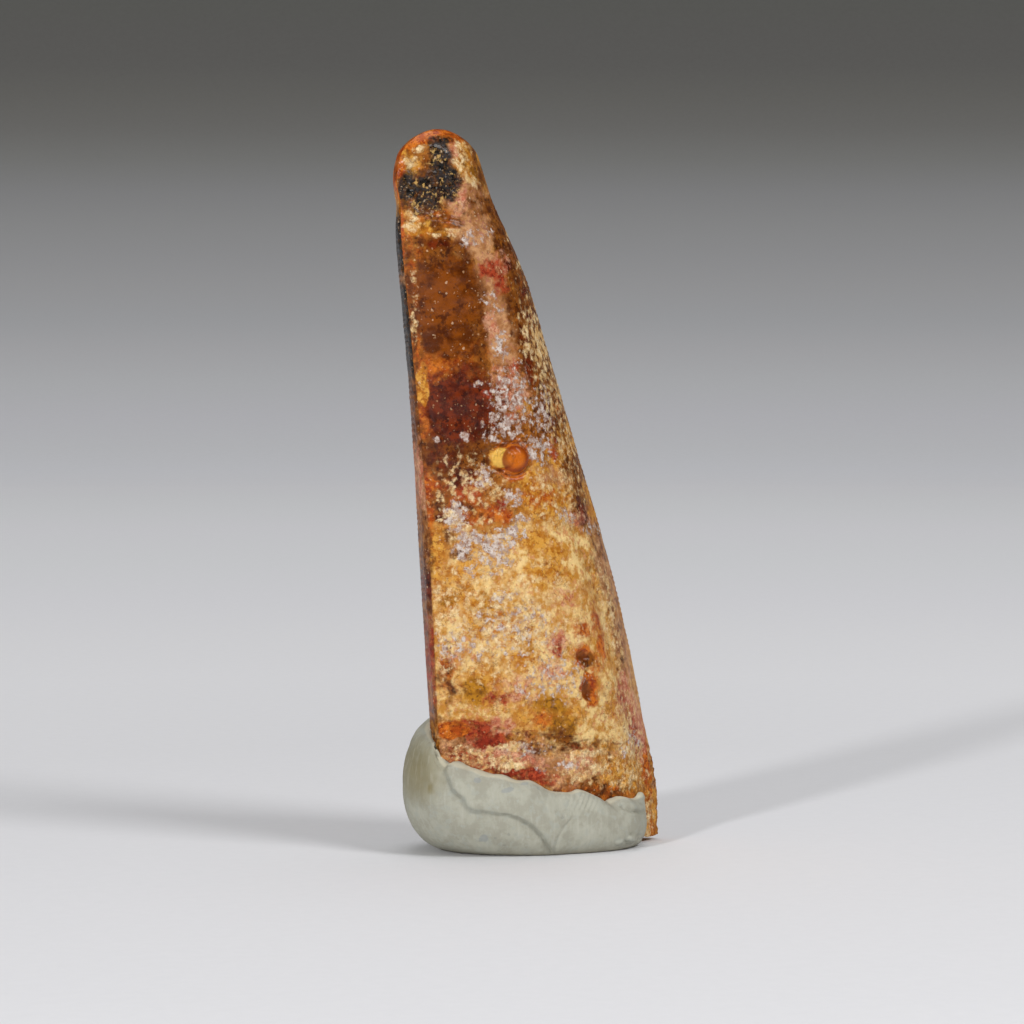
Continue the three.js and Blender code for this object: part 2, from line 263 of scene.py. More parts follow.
def write_mask(piece: bpy.types.Object, name: str, values: np.ndarray) -> None:
    """Stores one number per vertex under a name that a material can read."""
    layer = piece.data.attributes.new(name, "FLOAT", "POINT")
    layer.data.foreach_set("value", np.ascontiguousarray(values, np.float32))


def grid_normals(points: np.ndarray) -> np.ndarray:
    """Outward normals of a closed ring of upright lines of points.

    Args:
        points: array of rows, columns and x, y, z, whose columns run anticlockwise seen from above.

    Returns:
        A unit normal for each point.
    """
    round_ring = np.roll(points, -1, axis=1) - np.roll(points, 1, axis=1)
    upwards = np.gradient(points, axis=0)
    normal = np.cross(round_ring, upwards)
    length = np.linalg.norm(normal, axis=2, keepdims=True)
    return normal / np.maximum(length, 1e-9)


class Side(IntEnum):
    """Side of the tooth that a column of points belongs to."""

    SHOW = 0
    BACK = 1
    HEEL = 2


class Stain(Enum):
    """Kinds of colour on the fossil, in the order in which they lie over one another: mineral stains, though
    the tan and white marks along the crest are partly painted highlight.
    """

    CREAM = "cream"
    GOLD = "gold"
    OLIVE = "olive"
    ORANGE = "orange"
    TAN = "tan"
    AMBER = "amber"
    BROWN = "brown"
    MAROON = "maroon"
    PINK = "pink"
    CRIMSON = "crimson"
    WHITE = "white"
    PALE = "pale"
    BLACK = "black"


@dataclass(frozen=True)
class Mark:
    """One blot of a stain: its middle on the sight plane, half sizes in mm, strength and tilt in degrees."""

    stain: Stain
    right: float
    up: float
    wide: float
    tall: float
    strength: float = 1.0
    tilt: float = 0.0

    def cover(self, right: np.ndarray, up: np.ndarray) -> np.ndarray:
        """How strongly the blot covers places: its strength in the middle, half of that at its rim.

        Args:
            right: places to the right on the sight plane, in mm.
            up: places upwards, in mm.

        Returns:
            The cover of each place.
        """
        c, s = math.cos(math.radians(self.tilt)), math.sin(math.radians(self.tilt))
        dx, dy = right - self.right, up - self.up
        q = ((dx * c + dy * s) / self.wide) ** 2 + ((dy * c - dx * s) / self.tall) ** 2
        return self.strength * np.clip(1 - 0.5 * q, 0, 1)


def marks_of(table: dict) -> tuple:
    """Marks from rows of right, up, half sizes, strength and tilt, grouped by their stain."""
    return tuple(Mark(stain, *row) for stain, rows in table.items() for row in rows)


@dataclass
class ToothForm:
    """Sizes of the tooth in mm and the shape that follows from them."""

    # Height, rear edge, fore edge, breadth of the heel strip, rear edge's distance from the middle plane.
    outline: list = field(default_factory=lambda: [
        (0, -12.75, 13.6, 0.8, -1.55), (6, -12.85, 13.3, 0.8, -1.65), (13, -13.6, 11.7, 0.9, -1.9),
        (21, -14.1, 9.9, 1.5, -2.2), (31, -14.6, 7.1, 1.9, -2.1), (41, -15.3, 3.75, 1.5, -1.85),
        (51, -16.25, 0.4, 1.0, -1.6), (60, -17.1, -2.8, 0.95, -1.35), (64, -17.45, -4.75, 0.9, -1.25),
        (66.3, -17.45, -6.0, 0.6, -1.2), (69, -17.85, -7.05, 0.5, -1.1), (75.3, -15.95, -9.25, 0.4, -0.9),
    ])
    top: float = 74.2
    dome_start: float = 71.3
    crest: float = 0.56
    show_bulge: float = 0.2
    back_bulge: float = 0.25
    fore_offset: float = 0.02
    crest_power: float = 2.0
    fore_power: float = 2.1
    keel_foot: float = 0.45
    root_foot: float = 2.2
    keel_share: float = 0.9
    foot_fade: float = 8.0
    rear_fade: float = 8.0
    fore_fade: float = 14.0
    lump_height: float = 0.1
    lump_length: float = 2.1
    lump_shift: float = 2.0
    enamel_rear: float = 13.8
    enamel_fore: float = 9.6
    enamel_height: float = 0.22
    enamel_step: float = 0.7
    groove_from_fore: float = 2.4
    groove_spread: float = 0.08
    groove_width: float = 0.9
    groove_depth: float = 0.32
    groove_top: float = 44.0
    groove_fade: float = 9.0
    chip_across: float = 0.3
    chip_z: float = 68.6
    chip_wide: float = 0.34
    chip_tall: float = 4.0
    chip_depth: float = 0.5
    chip_steepness: float = 1.3
    ledge_rear: float = 65.5
    ledge_fore: float = 62.9
    ledge_depth: float = 0.16
    ledge_step: float = 0.6
    even_columns: float = 0.45
    heel_crown: float = 0.1

    def edge(self, key: int, z: np.ndarray) -> np.ndarray:
        """One number of the outline at heights: 1 rear, 2 fore, 3 heel, 4 offset."""
        return stations(self.outline, key, z)

    def breadth(self, z: np.ndarray) -> np.ndarray:
        """Breadth of the tooth at heights."""
        return self.edge(2, z) - self.edge(1, z)

    def enamel_edge(self, across: np.ndarray) -> np.ndarray:
        """Height of the enamel's lower edge, from the rear edge (0) to the fore edge (1)."""
        return self.enamel_rear + (self.enamel_fore - self.enamel_rear) * across

    def from_chip(self, across: np.ndarray, z: np.ndarray) -> np.ndarray:
        """Squared distance from the chipped place's middle, 1 at its rim."""
        return ((across - self.chip_across) / self.chip_wide) ** 2 + ((z - self.chip_z) / self.chip_tall) ** 2

    def relief(self, is_show: bool, across: np.ndarray, z: np.ndarray, breadth: np.ndarray) -> np.ndarray:
        """Raised and sunk places of a face.

        Args:
            is_show: whether it is the show face.
            across: places from the rear edge, 0, to the fore edge, 1.
            z: heights.
            breadth: breadth of the tooth at those heights.

        Returns:
            Height outwards, in mm.
        """
        fade = np.clip(across * self.rear_fade, 0, 1) * np.clip((1 - across) * self.fore_fade, 0, 1)
        shift = 0 if is_show else self.lump_shift
        x = across * breadth
        height = self.lump_height * np.sin((x + 0.5 * z) / self.lump_length + shift)
        height = height * np.sin((0.7 * z - x) / self.lump_length - shift)
        height = height + self.enamel_height * smooth_step((z - self.enamel_edge(across)) / self.enamel_step)
        from_groove = (1 - across) * breadth - self.groove_from_fore - self.groove_spread * z
        below_top = 1 - smooth_step((z - self.groove_top) / self.groove_fade)
        height = height - self.groove_depth * bell(from_groove, self.groove_width) * below_top
        if is_show:
            inside = self.chip_steepness * (1 - self.from_chip(across, z))
            height = height - self.chip_depth * smooth_step(inside)
        ledge = self.ledge_rear + (self.ledge_fore - self.ledge_rear) * across
        height = height - self.ledge_depth * smooth_step((z - ledge) / self.ledge_step)
        return height * fade

    def root_level(self, across: np.ndarray, level: np.ndarray) -> np.ndarray:
        """Height of a level on the broken root, where only the keel side comes down low.

        Args:
            across: places from the rear edge to the fore edge.
            level: levels of the rows.

        Returns:
            The heights.
        """
        side = smooth_step((across - self.keel_share + 0.08) / 0.1)
        lift = self.root_foot - (self.root_foot - self.keel_foot) * side
        return level + lift * (1 - np.clip(level / self.foot_fade, 0, 1))

    def face(self, is_show: bool, across: np.ndarray, level: np.ndarray) -> np.ndarray:
        """Points of one face.

        Args:
            is_show: whether it is the show face.
            across: places from the rear edge to the fore edge.
            level: levels, which are heights except near the root's foot.

        Returns:
            Points in mm, in an array of the same shape with x, y, z last.
        """
        z = self.root_level(across, level)
        rear, fore, offset = self.edge(1, z), self.edge(2, z), self.edge(4, z)
        breadth = fore - rear
        fore_y = self.fore_offset * breadth
        low = across < self.crest
        from_crest = np.abs(across - self.crest) / np.where(low, self.crest, 1 - self.crest)
        if is_show:
            bulge = 1 - from_crest ** np.where(low, self.crest_power, self.fore_power)
            y = offset * (1 - across) + fore_y * across - self.show_bulge * breadth * bulge
        else:
            heel_y = offset + self.edge(3, z)
            arch = np.sqrt(np.clip(1 - from_crest**2, 0, 1))
            rear_part = heel_y + (self.back_bulge * breadth - heel_y) * arch
            fore_part = fore_y + (self.back_bulge * breadth - fore_y) * (1 - from_crest**2)
            y = np.where(low, rear_part, fore_part)
        t = np.clip((z - self.dome_start) / (self.top - self.dome_start), 0, 1)
        scale = np.sqrt(1 - t * t)
        middle = (rear + fore) / 2
        x = middle + (rear + breadth * across - middle) * scale
        y = y + (-1 if is_show else 1) * self.relief(is_show, across, z, breadth)
        return np.stack([x, y * scale, z], axis=-1)

    def levels(self, body_rows: int, dome_rows: int) -> np.ndarray:
        """Levels of the rows, closer together towards the top of the dome.

        Args:
            body_rows: number of rows below the dome.
            dome_rows: number of rows on the dome.

        Returns:
            The levels.
        """
        body = np.linspace(0, self.dome_start, body_rows, endpoint=False)
        turn = np.linspace(0, math.pi / 2, dome_rows, endpoint=False)
        return np.concatenate([body, self.dome_start + (self.top - self.dome_start) * np.sin(turn)])

    def shell(self, levels: np.ndarray, columns: int, heel_columns: int) -> tuple:
        """All points of the tooth's side surface as rows and columns.

        Args:
            levels: level of each row.
            columns: number of columns on a face, edges counted.
            heel_columns: number of columns on the heel strip, edges not counted.

        Returns:
            The points, and the share across and the Side of each column.
        """
        even = np.linspace(0, 1, columns)
        shares = self.even_columns * even + (1 - self.even_columns) * (1 - np.cos(np.pi * even)) / 2
        level = levels[:, None]
        show = self.face(True, np.broadcast_to(shares, (len(levels), columns)), level)
        back_shares = shares[::-1][1:]
        back = self.face(False, np.broadcast_to(back_shares, (len(levels), columns - 1)), level)
        across_heel = np.linspace(0, 1, heel_columns + 2)[1:-1]
        first, last = back[:, -1:, :], show[:, :1, :]
        heel = first + (last - first) * across_heel[None, :, None]
        crown = 4 * across_heel * (1 - across_heel)
        heel[..., 0] -= self.heel_crown * crown * np.abs(last[..., 1] - first[..., 1])
        points = np.concatenate([show, back, heel], axis=1)
        across = np.concatenate([shares, back_shares, np.zeros(heel_columns)])
        side = np.repeat([Side.SHOW, Side.BACK, Side.HEEL], [columns, columns - 1, heel_columns])
        return points, across, side

    def reach(self, turn: np.ndarray, z: float, middle: tuple) -> np.ndarray:
        """How far the tooth's section reaches from a point.

        Args:
            turn: directions in degrees.
            z: height of the section.
            middle: the point, x and y.

        Returns:
            The distance in each direction, in mm.
        """
        ring, _, _ = self.shell(np.array([z]), 120, 4)
        x, y = ring[0, :, 0] - middle[0], ring[0, :, 1] - middle[1]
        angle = np.degrees(np.arctan2(y, x)) % 360
        order = np.argsort(angle)
        return np.interp(turn % 360, angle[order], np.hypot(x, y)[order], period=360)


# Marks of the show face by stain. A row is the middle on the sight plane, the half sizes in mm,
# the strength and the tilt in degrees.
SHOW_MARKS = marks_of({
    Stain.CREAM: (
        (-0.2, 29.8, 4.78, 3.54, 1.2), (3.4, 29.8, 2.08, 2.5, 1.2), (-8, 27.8, 4.16, 2.5, 0.8),
        (-4.9, 23.6, 8.32, 6.24, 0.85), (1.4, 20.5, 5.2, 6.24, 0.95), (-9, 21.5, 3.54, 7.28, 0.85),
        (3.4, 13.2, 4.78, 3.54, 1.15), (-7, 14.8, 5.2, 2.7, 0.8), (4, 17.9, 0.62, 0.62, 0.8),
        (6.8, 15.3, 1.25, 4.16, 0.9), (6.6, 25, 1, 8, 1.2, 11), (8.6, 12, 1.4, 5, 1, 8),
    ),
    Stain.GOLD: (
        (-14.5, 70.6, 1.25, 2.08, 1), (-8, 70.9, 1.46, 3.12, 0.9, 20), (-10.9, 72.5, 2.08, 0.83, 0.9),
        (-6.1, 67, 0.47, 1.87, 1.3, 26), (-10.9, 63.5, 3.12, 0.94, 1.2), (-9.9, 60.8, 1.25, 0.83, 0.9),
        (-6.1, 60.8, 1.25, 1.66, 0.9), (-13.7, 59.5, 0.62, 3.12, 0.8, 5), (-3, 57.7, 0.73, 2.08, 0.9, 14),
        (-1.4, 56.9, 0.52, 3.12, 0.8, 17), (2, 43.4, 0.62, 4.78, 0.9, 12),
        (-12.9, 47.3, 0.52, 2.08, 1.7, 7), (-2.4, 45.7, 1.25, 1.25, 0.9), (1.4, 39.2, 1.87, 2.7, 0.8, 12),
        (-5, 40.1, 1, 1.1, 2.2), (-12, 30.9, 1.25, 3.54, 1.1, 4), (-9.6, 38.9, 1.46, 0.83, 0.8, 20),
        (0.1, 36.6, 3.12, 3.12, 1.15), (4.5, 35, 0.52, 3.33, 1.1, 14), (-1.1, 31.6, 1.66, 1.25, 0.95),
        (0.9, 30.3, 1.25, 1.04, 0.8), (-9, 28.3, 2.5, 1.46, 0.8), (-0.2, 28.3, 2.7, 1.46, 0.8),
        (-6.6, 24.1, 2.5, 2.29, 0.95), (-9.6, 25.7, 1.66, 1.66, 0.8), (-12.2, 23.6, 0.62, 6.24, 0.9, 2),
        (-2.8, 19.4, 1.87, 1.25, 0.7), (-7, 16.5, 2.08, 1.87, 1.05), (0.8, 13.7, 2.7, 1.66, 1),
        (-1.8, 13.7, 1.46, 1.04, 0.8), (-10.1, 10.6, 2.08, 1.66, 0.9), (6.1, 7.2, 4.78, 2.08, 1.1, -6),
        (10.9, 3.3, 0.9, 3, 1.35), (7.2, 23.6, 0.73, 4.78, 1, 10), (-3.9, 60.5, 0.35, 3.5, 1.2, 22),
        (-1.3, 52.5, 0.35, 4.5, 1.1, 14), (0.9, 44, 0.35, 4.5, 1.1, 13), (2.9, 36, 0.35, 4, 1.1, 14),
        (-14, 63.9, 1, 1.6, 0.9, 4), (-0.8, 50, 1.2, 6, 0.8, 13), (-3.5, 61.5, 0.8, 1.2, 1, 20),
        (-2, 56, 0.8, 1.6, 1, 15), (7.4, 22, 0.6, 6, 0.8, 10), (-3.2, 22, 2.4, 1.6, 0.7),
        (-9.2, 72.4, 1.4, 0.7, 1.1, -25),
    ),
    Stain.OLIVE: (
        (-8.8, 70.1, 0.36, 0.36, 1.1), (-7.7, 69.5, 0.36, 0.52, 1.1), (-0.9, 51.7, 1.14, 3.12, 0.85, 13),
        (-6.4, 25, 1.66, 1.46, 0.62), (-10.3, 25.5, 0.83, 0.62, 0.7), (-2.3, 20.5, 1.46, 0.83, 0.55),
        (-7.5, 16.1, 1.35, 1.35, 1.05), (0.3, 14.7, 1.87, 0.94, 1, -10), (1.6, 12.2, 1.46, 1.46, 1),
    ),
    Stain.ORANGE: (
        (-13.9, 72.8, 1.5, 0.8, 1.5, 38), (-11.3, 73.8, 3, 0.7, 1.6), (-9.3, 73.3, 1.25, 0.83, 1.2, -35),
        (-15.4, 70.2, 0.52, 2.29, 0.9, 8), (-15.2, 63.1, 0.36, 3.12, 1.1, 3),
        (-10.1, 64.2, 1.46, 0.62, 1.1), (-12.2, 65, 1.87, 0.42, 0.7), (-12.5, 62.5, 0.83, 0.62, 0.6),
        (-13.9, 53.2, 0.52, 4.16, 0.75, 4), (-2.6, 55.6, 0.94, 1.66, 1, 10),
        (-11.8, 47.3, 0.62, 2.5, 1.2, 6), (-12.8, 43.6, 1.25, 2.5, 1.05, 4), (-3.6, 40.1, 1.55, 1.6, 2.2),
        (-3.5, 38.4, 0.83, 0.62, 1.3), (-12.9, 36.1, 1.25, 3.54, 1.15, 4),
        (-10.3, 38, 1.87, 1.25, 0.95, 15), (-6.6, 34.4, 1.87, 1.14, 1.35, 5), (-4.6, 34.2, 1.04, 0.94, 1),
        (-0.7, 36.1, 2.29, 1.25, 0.6), (-5.1, 23.1, 1.46, 0.83, 0.6, 30), (5.2, 23.1, 0.52, 1.87, 0.75, 14),
        (5.7, 20.5, 0.47, 2.08, 0.9), (5.5, 18.6, 0.83, 1.25, 0.59), (3.7, 22.4, 1.25, 0.83, 0.8, -20),
        (3.7, 19.8, 1.04, 0.94, 1.3, -35), (4.4, 16.3, 0.83, 1.56, 1.3, 5), (7.4, 14.8, 0.52, 2.08, 0.5),
        (-10.4, 18.6, 0.83, 1.87, 0.85), (-0.7, 13.2, 1.46, 1.25, 0.6), (-9.9, 12.1, 1.77, 0.94, 1.5),
        (-10.1, 9.4, 1.46, 0.62, 0.5), (5, 5.9, 3.54, 1.04, 0.9, -8), (10.2, 9, 0.42, 4.16, 1.1, 6),
        (10.9, 2, 0.4, 1, 0.7), (-13.9, 56, 0.55, 6.5, 1.1, 4), (-1, 47.4, 0.6, 1.2, 0.9, 13),
        (-3.4, 61.8, 0.6, 1.6, 0.9, 22), (1.2, 45.2, 0.5, 1.2, 0.8, 13), (-8.8, 35.6, 2.6, 2.4, 0.9),
        (-2.8, 58.6, 0.9, 1.2, 1, 18), (-13, 60.8, 0.8, 0.8, 0.9), (-8.8, 10.8, 2.6, 1.2, 0.7),
        (-9.8, 51.4, 3, 3, 0.9), (-13.7, 66.5, 0.7, 2.6, 0.6), (-11.4, 72.9, 2.8, 0.6, 1.2),
        (-9.8, 75.2, 1.5, 0.5, 0.9, -35), (-12.4, 76.2, 1.8, 0.5, 0.8),
    ),
    # The tan marks down the crest, from near the tip to about 48 mm up, are partly a painted highlight: the
    # pale streak of a soft lamp on the glossy crest.
    Stain.TAN: (
        (-8.4, 66.6, 2.08, 1.87, 1.1), (-7.6, 62.8, 2.08, 2.29, 1.2), (-6.1, 58.8, 1.35, 3.54, 1.3, 10),
        (-4.9, 53.2, 1.46, 4.37, 1.2, 8), (-4.1, 48, 1.25, 3.12, 0.7, 8), (0.8, 38.2, 2.29, 1.25, 0.6),
        (-8, 9.9, 4.78, 1.46, 1.3, -8), (1.4, 8, 4.16, 1.66, 1, -6), (6, 28.8, 0.83, 4.16, 1.1, 14),
        (7.8, 20.5, 0.73, 4.58, 0.9, 9), (-5.4, 56.5, 0.8, 3, 0.9, 9),
    ),
    Stain.AMBER: (
        (-10.5, 55.8, 3.54, 5.41, 1.35, 4), (-8.8, 51.7, 3.12, 4.16, 0.6, 6),
    ),
    Stain.BROWN: (
        (-5.2, 65, 0.52, 2.29, 1.1, 27), (-6.6, 65.9, 0.73, 1.25, 0.7, 20), (-11.3, 61.7, 3.33, 1.35, 1),
        (-4.4, 62.4, 1.25, 2.5, 1.1, 25), (-2, 53.8, 1.66, 7.28, 1.1, 13), (-3.3, 60, 1.46, 2.7, 0.95, 20),
        (0.1, 46.5, 1.87, 5.2, 0.9, 12), (-9.6, 40.8, 4.37, 2.81, 1.25), (2.9, 39, 1.25, 2.08, 0.9, 12),
        (-4.75, 40.3, 0.16, 1, 1.6), (-11.5, 39.6, 1.25, 1.04, 1), (-6.2, 38.6, 1.25, 1.04, 0.6),
        (-7.7, 34.4, 1.25, 1.25, 0.5), (-10.1, 32.1, 0.62, 1.04, 0.8), (-9, 30.1, 0.94, 0.62, 0.8),
        (3.1, 36.3, 0.94, 3.12, 0.75, 14), (-12.4, 27.2, 0.42, 1.66, 0.7),
        (4.2, 19.4, 0.73, 0.62, 1.15, -35), (4.2, 16, 0.52, 0.94, 0.69, 5), (-10.6, 17.9, 0.83, 1.46, 0.7),
        (-10.1, 16.3, 0.52, 2.29, 0.6), (1.4, 11.6, 1.46, 0.94, 0.85), (-9.9, 12, 1.6, 0.8, 1.1),
        (5.5, 5.7, 3.12, 0.73, 0.7, -8), (2.7, 10.6, 3.12, 0.52, 0.6, 8), (5.3, 31.4, 0.62, 2.5, 0.54, 14),
        (4.9, 29.6, 0.62, 1.25, 0.48), (6.8, 24.6, 0.83, 4.16, 0.45, 10), (7.6, 19.4, 0.62, 3.54, 0.51, 8),
        (4.6, 6.4, 2.2, 0.7, 0.8, -8), (-13.2, 62, 0.8, 1.2, 0.8, 4), (-10.5, 70.6, 4, 3.4, 0.38),
        (-4.2, 44.8, 1.9, 3.2, 0.9, 6), (-11, 35.5, 1, 2, 0.8, 4), (-12.4, 31, 0.5, 4, 0.8, 4),
        (8.4, 6.2, 1.4, 1.2, 0.5), (-12, 60.4, 2.4, 0.9, 0.8), (-14.1, 55.5, 0.4, 6, 0.9, 4),
        (-10.8, 64.2, 2, 1, 0.85), (-8, 35.5, 2.6, 2.6, 0.5), (-8.6, 10.4, 2.6, 1.2, 0.55),
        (-4.3, 46.4, 1.3, 3, 0.6, 6), (0.2, 45, 1.2, 3, 0.6, 12), (-8.1, 66.3, 1.3, 1.5, 0.55),
        (-7, 52, 0.8, 4, 0.7, 6), (-8.1, 72.4, 0.45, 2.2, 0.7, 18), (-7, 69, 0.5, 2.2, 0.7, 18),
    ),
    Stain.MAROON: (
        (-11.5, 62.1, 1.46, 0.52, 0.7), (-9, 45.4, 3.54, 3.74, 1.35), (-4.9, 47, 1.46, 1.87, 0.7),
        (-10.9, 40, 1.66, 1.46, 0.7), (-8.7, 38.2, 0.94, 0.73, 1.1, 25), (-10.9, 34.2, 0.62, 0.52, 1),
        (3.4, 34.5, 0.73, 1.46, 0.95, 14), (-6.2, 11.1, 1.04, 0.62, 0.7), (-1.8, 49, 0.4, 1.5, 1, 13),
        (0.2, 44.5, 0.4, 1.2, 1, 13), (-2.6, 52.8, 0.4, 1.1, 0.9, 13), (-9.5, 37.5, 1.5, 0.8, 0.9, 20),
        (-4.6, 8.1, 2.2, 0.6, 0.8, -10), (-4.2, 60, 0.5, 0.6, 1), (-2.4, 57.2, 0.5, 0.5, 1),
        (-1.6, 54.6, 0.6, 0.6, 0.9), (-1.5, 9.5, 1.2, 0.6, 0.7),
    ),
    Stain.PINK: (
        (-9.4, 66.9, 0.94, 1.66, 0.6), (-9.8, 71.4, 0.62, 0.94, 0.6), (-5.9, 53.5, 0.83, 1.46, 0.75),
        (-4.9, 60.2, 1.25, 1.04, 0.5), (-4.4, 48.6, 1.46, 1.25, 0.6), (-3.3, 46.5, 1.46, 3.12, 0.5),
        (3.1, 34, 1.25, 1.04, 0.5), (-9, 20, 2.08, 1.04, 0.4), (1, 21, 0.94, 1.25, 1.05),
        (0.5, 18.2, 1.46, 1.04, 0.7), (1.6, 25.7, 1.46, 1.25, 0.45), (-3.3, 16.3, 2.5, 1.46, 0.5),
        (-4.9, 12.5, 1.66, 0.83, 0.8), (-4.9, 9.9, 3.12, 1.04, 0.7, -8), (-2.3, 9, 2.08, 0.62, 0.75),
        (9.3, 12.2, 0.73, 3.12, 1.1, 8), (8.1, 16.3, 0.73, 2.29, 0.7, 8), (3.2, 9, 1.6, 0.9, 0.6),
    ),
    Stain.CRIMSON: (
        (-5.7, 59.4, 1.14, 1.04, 0.9), (-4.9, 57.9, 0.83, 0.94, 0.75), (-6.2, 46.7, 0.62, 0.52, 0.7),
        (-8, 36.8, 1.66, 0.83, 0.65), (-4.9, 35.4, 0.52, 0.62, 1.1), (1.1, 20.5, 0.62, 0.83, 0.95),
        (-4.9, 15.3, 1.87, 0.73, 0.66, 10), (-7.2, 12.1, 2.1, 0.9, 0.95), (-5.8, 10.9, 1.66, 0.94, 1.05),
        (-8, 13, 1.46, 0.42, 0.8), (-1.1, 7.5, 1.87, 0.62, 1.15, -12), (-0.1, 6.7, 1.04, 0.52, 0.9),
        (9, 11.6, 0.52, 2.91, 0.8, 8), (7.8, 15.3, 0.62, 1.87, 0.6, 8), (10.6, 3.5, 0.3, 0.6, 0.6),
        (-6.4, 8.7, 3.4, 1.1, 0.6, -10), (-2.4, 7.4, 2.6, 0.8, 0.75, -12), (-3.4, 49.5, 0.8, 0.8, 0.7),
        (0.5, 41, 0.5, 1, 0.7, 13), (-9.5, 9.6, 1, 0.8, 0.62), (3.4, 10.2, 1.4, 0.5, 0.6),
        (-11.3, 74, 2.4, 0.35, 0.8),
    ),
    # The white marks by the crest, about 43 to 52 mm up, are partly painted highlight, pale sparkles on the
    # rough enamel; the other white marks are a pale crust.
    Stain.WHITE: (
        (-8.2, 62.4, 0.94, 0.73, 0.57), (-6.8, 63.1, 1.25, 0.83, 0.33), (-7.5, 47.8, 0.62, 0.36, 0.82),
        (-8.6, 42.3, 0.52, 0.42, 0.82), (-11.4, 42, 0.42, 0.31, 0.98), (-4.6, 46, 1.56, 3.33, 0.5, 6),
        (-2.9, 47.5, 0.83, 2.5, 0.54, 4), (-4.4, 43.2, 2.08, 1.66, 0.58), (-4.9, 51.7, 0.83, 1.66, 0.54, 4),
        (-6, 56.4, 0.94, 0.83, 0.49), (-5.2, 55, 0.94, 0.52, 0.49), (-0.7, 44.4, 1.46, 3.12, 0.44, 10),
        (-1.2, 41.1, 2.08, 1.46, 0.59), (-6.8, 37.8, 1.14, 0.94, 0.82), (-6.4, 39, 1.04, 0.52, 0.74),
        (-9.5, 34.1, 1.04, 1.46, 0.94), (-8, 31.9, 1.25, 0.94, 0.94), (-8.7, 30.7, 1.04, 1.04, 0.7),
        (-5.2, 31.1, 1.66, 1.25, 0.86, 15), (-3.8, 32.4, 1.46, 0.73, 0.7),
        (-3.6, 36.1, 1.04, 0.83, 0.7, -25), (-2.8, 33.8, 1.04, 0.52, 0.57), (-5.4, 29.5, 1.87, 1.04, 0.57),
        (-7.4, 28.6, 2.08, 1.04, 0.41), (2, 34, 1.25, 0.73, 0.51, -30), (-5.5, 23.2, 1.04, 0.31, 0.57, 35),
        (-4.9, 25.7, 1.66, 0.62, 0.49, 20), (-8.8, 20.8, 3.54, 1.46, 0.51), (4.5, 33, 1.04, 0.83, 0.41),
        (3.7, 17.2, 0.52, 0.52, 0.57), (-0.7, 8, 0.62, 0.31, 0.57), (-0.4, 10.1, 0.83, 0.42, 0.57),
        (8.9, 10.9, 0.73, 1.25, 0.61, 8), (8.3, 9.9, 0.62, 0.83, 0.49), (-4, 22.5, 4.5, 2.6, 0.42),
        (0.5, 17.5, 3.4, 2.4, 0.4), (-2.5, 10, 1.6, 0.8, 0.52), (2, 8.5, 1.2, 0.6, 0.52),
    ),
    Stain.PALE: (
        (-13.7, 71.8, 0.7, 0.5, 0.5, 10), (-14.1, 70.4, 0.83, 0.52, 0.8), (-12, 72.4, 0.8, 0.4, 0.42),
        (-8.9, 70.1, 0.9, 1.5, 0.62), (-8, 68.4, 1.1, 0.6, 0.7, -20), (-8.7, 72, 0.9, 0.6, 0.45, -30),
        (-14.1, 64.2, 0.9, 1.5, 0.55), (-10.4, 63.1, 2.5, 0.42, 0.3, 8), (-13.8, 56.9, 0.4, 3, 0.3, 4),
        (-13.9, 53.5, 0.42, 1.46, 0.6, 4), (-0.9, 51.7, 1.04, 3.54, 0.62, 13),
        (0.6, 47, 1.46, 4.78, 0.5, 12), (-13.1, 47.7, 0.26, 1.66, 0.8, 7), (-5.5, 40.4, 0.35, 0.6, 1),
        (-3.8, 10.3, 1.46, 0.62, 0.7), (-3.3, 8.4, 1.25, 0.52, 0.8), (4.5, 9.4, 2.7, 0.73, 0.62),
        (10, 2.5, 0.36, 1.46, 1.4), (-0.4, 50.5, 1.7, 7.5, 0.38, 13), (1.9, 42, 1.7, 5, 0.38, 13),
        (-8, 36, 4, 4.5, 0.36), (0.5, 36, 3, 3, 0.36), (-5, 23.6, 8, 6, 0.45),
        (-6.5, 9.2, 3.4, 1.2, 0.52, -8), (6, 8, 4.4, 1.6, 0.45, -6), (10.6, 3.3, 0.5, 2.2, 0.6),
        (-2.7, 60, 0.5, 0.8, 0.6), (-3.8, 63, 0.6, 0.8, 0.55), (-2.2, 52.4, 0.6, 1.6, 0.55, 13),
        (3, 7.5, 2, 1, 0.5), (6.4, 24.5, 0.8, 6, 0.52, 11), (8.6, 11.5, 1.2, 4, 0.5, 8),
        (8, 7.4, 2.2, 1.6, 0.5),
    ),
    Stain.BLACK: (
        (-11.1, 70.5, 1.1, 2.6, 1.35, 8), (-10.3, 68.2, 1.1, 1.8, 1.35), (-10.8, 72.5, 0.73, 0.42, 1.1),
        (-14.4, 67.8, 1, 1.7, 1.2), (-12.6, 67.4, 2.3, 1.7, 1.1), (-12.8, 65.9, 2.1, 0.8, 0.8),
    ),
})

# Marks of the heel strip: stain, middle height, half height and strength.
HEEL_MARKS = (
    (Stain.BLACK, 62.4, 2.9, 1.3), (Stain.TAN, 58.8, 0.7, 0.9), (Stain.BLACK, 53.6, 4.6, 1.3),
    (Stain.BROWN, 45.0, 4.0, 1.1), (Stain.TAN, 44.0, 4.5, 0.7), (Stain.PINK, 39.0, 3.6, 0.6),
    (Stain.TAN, 38.0, 5.0, 0.9), (Stain.MAROON, 27.8, 1.6, 0.9), (Stain.BROWN, 31.0, 6.0, 0.7),
    (Stain.TAN, 24.0, 10.0, 0.9), (Stain.CRIMSON, 20.0, 4.0, 0.6), (Stain.GOLD, 14.0, 8.0, 0.8),
    (Stain.GOLD, 68.0, 3.0, 1.0), (Stain.ORANGE, 70.5, 3.0, 1.0), (Stain.BROWN, 12.0, 9.0, 0.6),
    (Stain.BROWN, 24.0, 9.0, 0.6), (Stain.BROWN, 50.0, 20.0, 0.5),
)

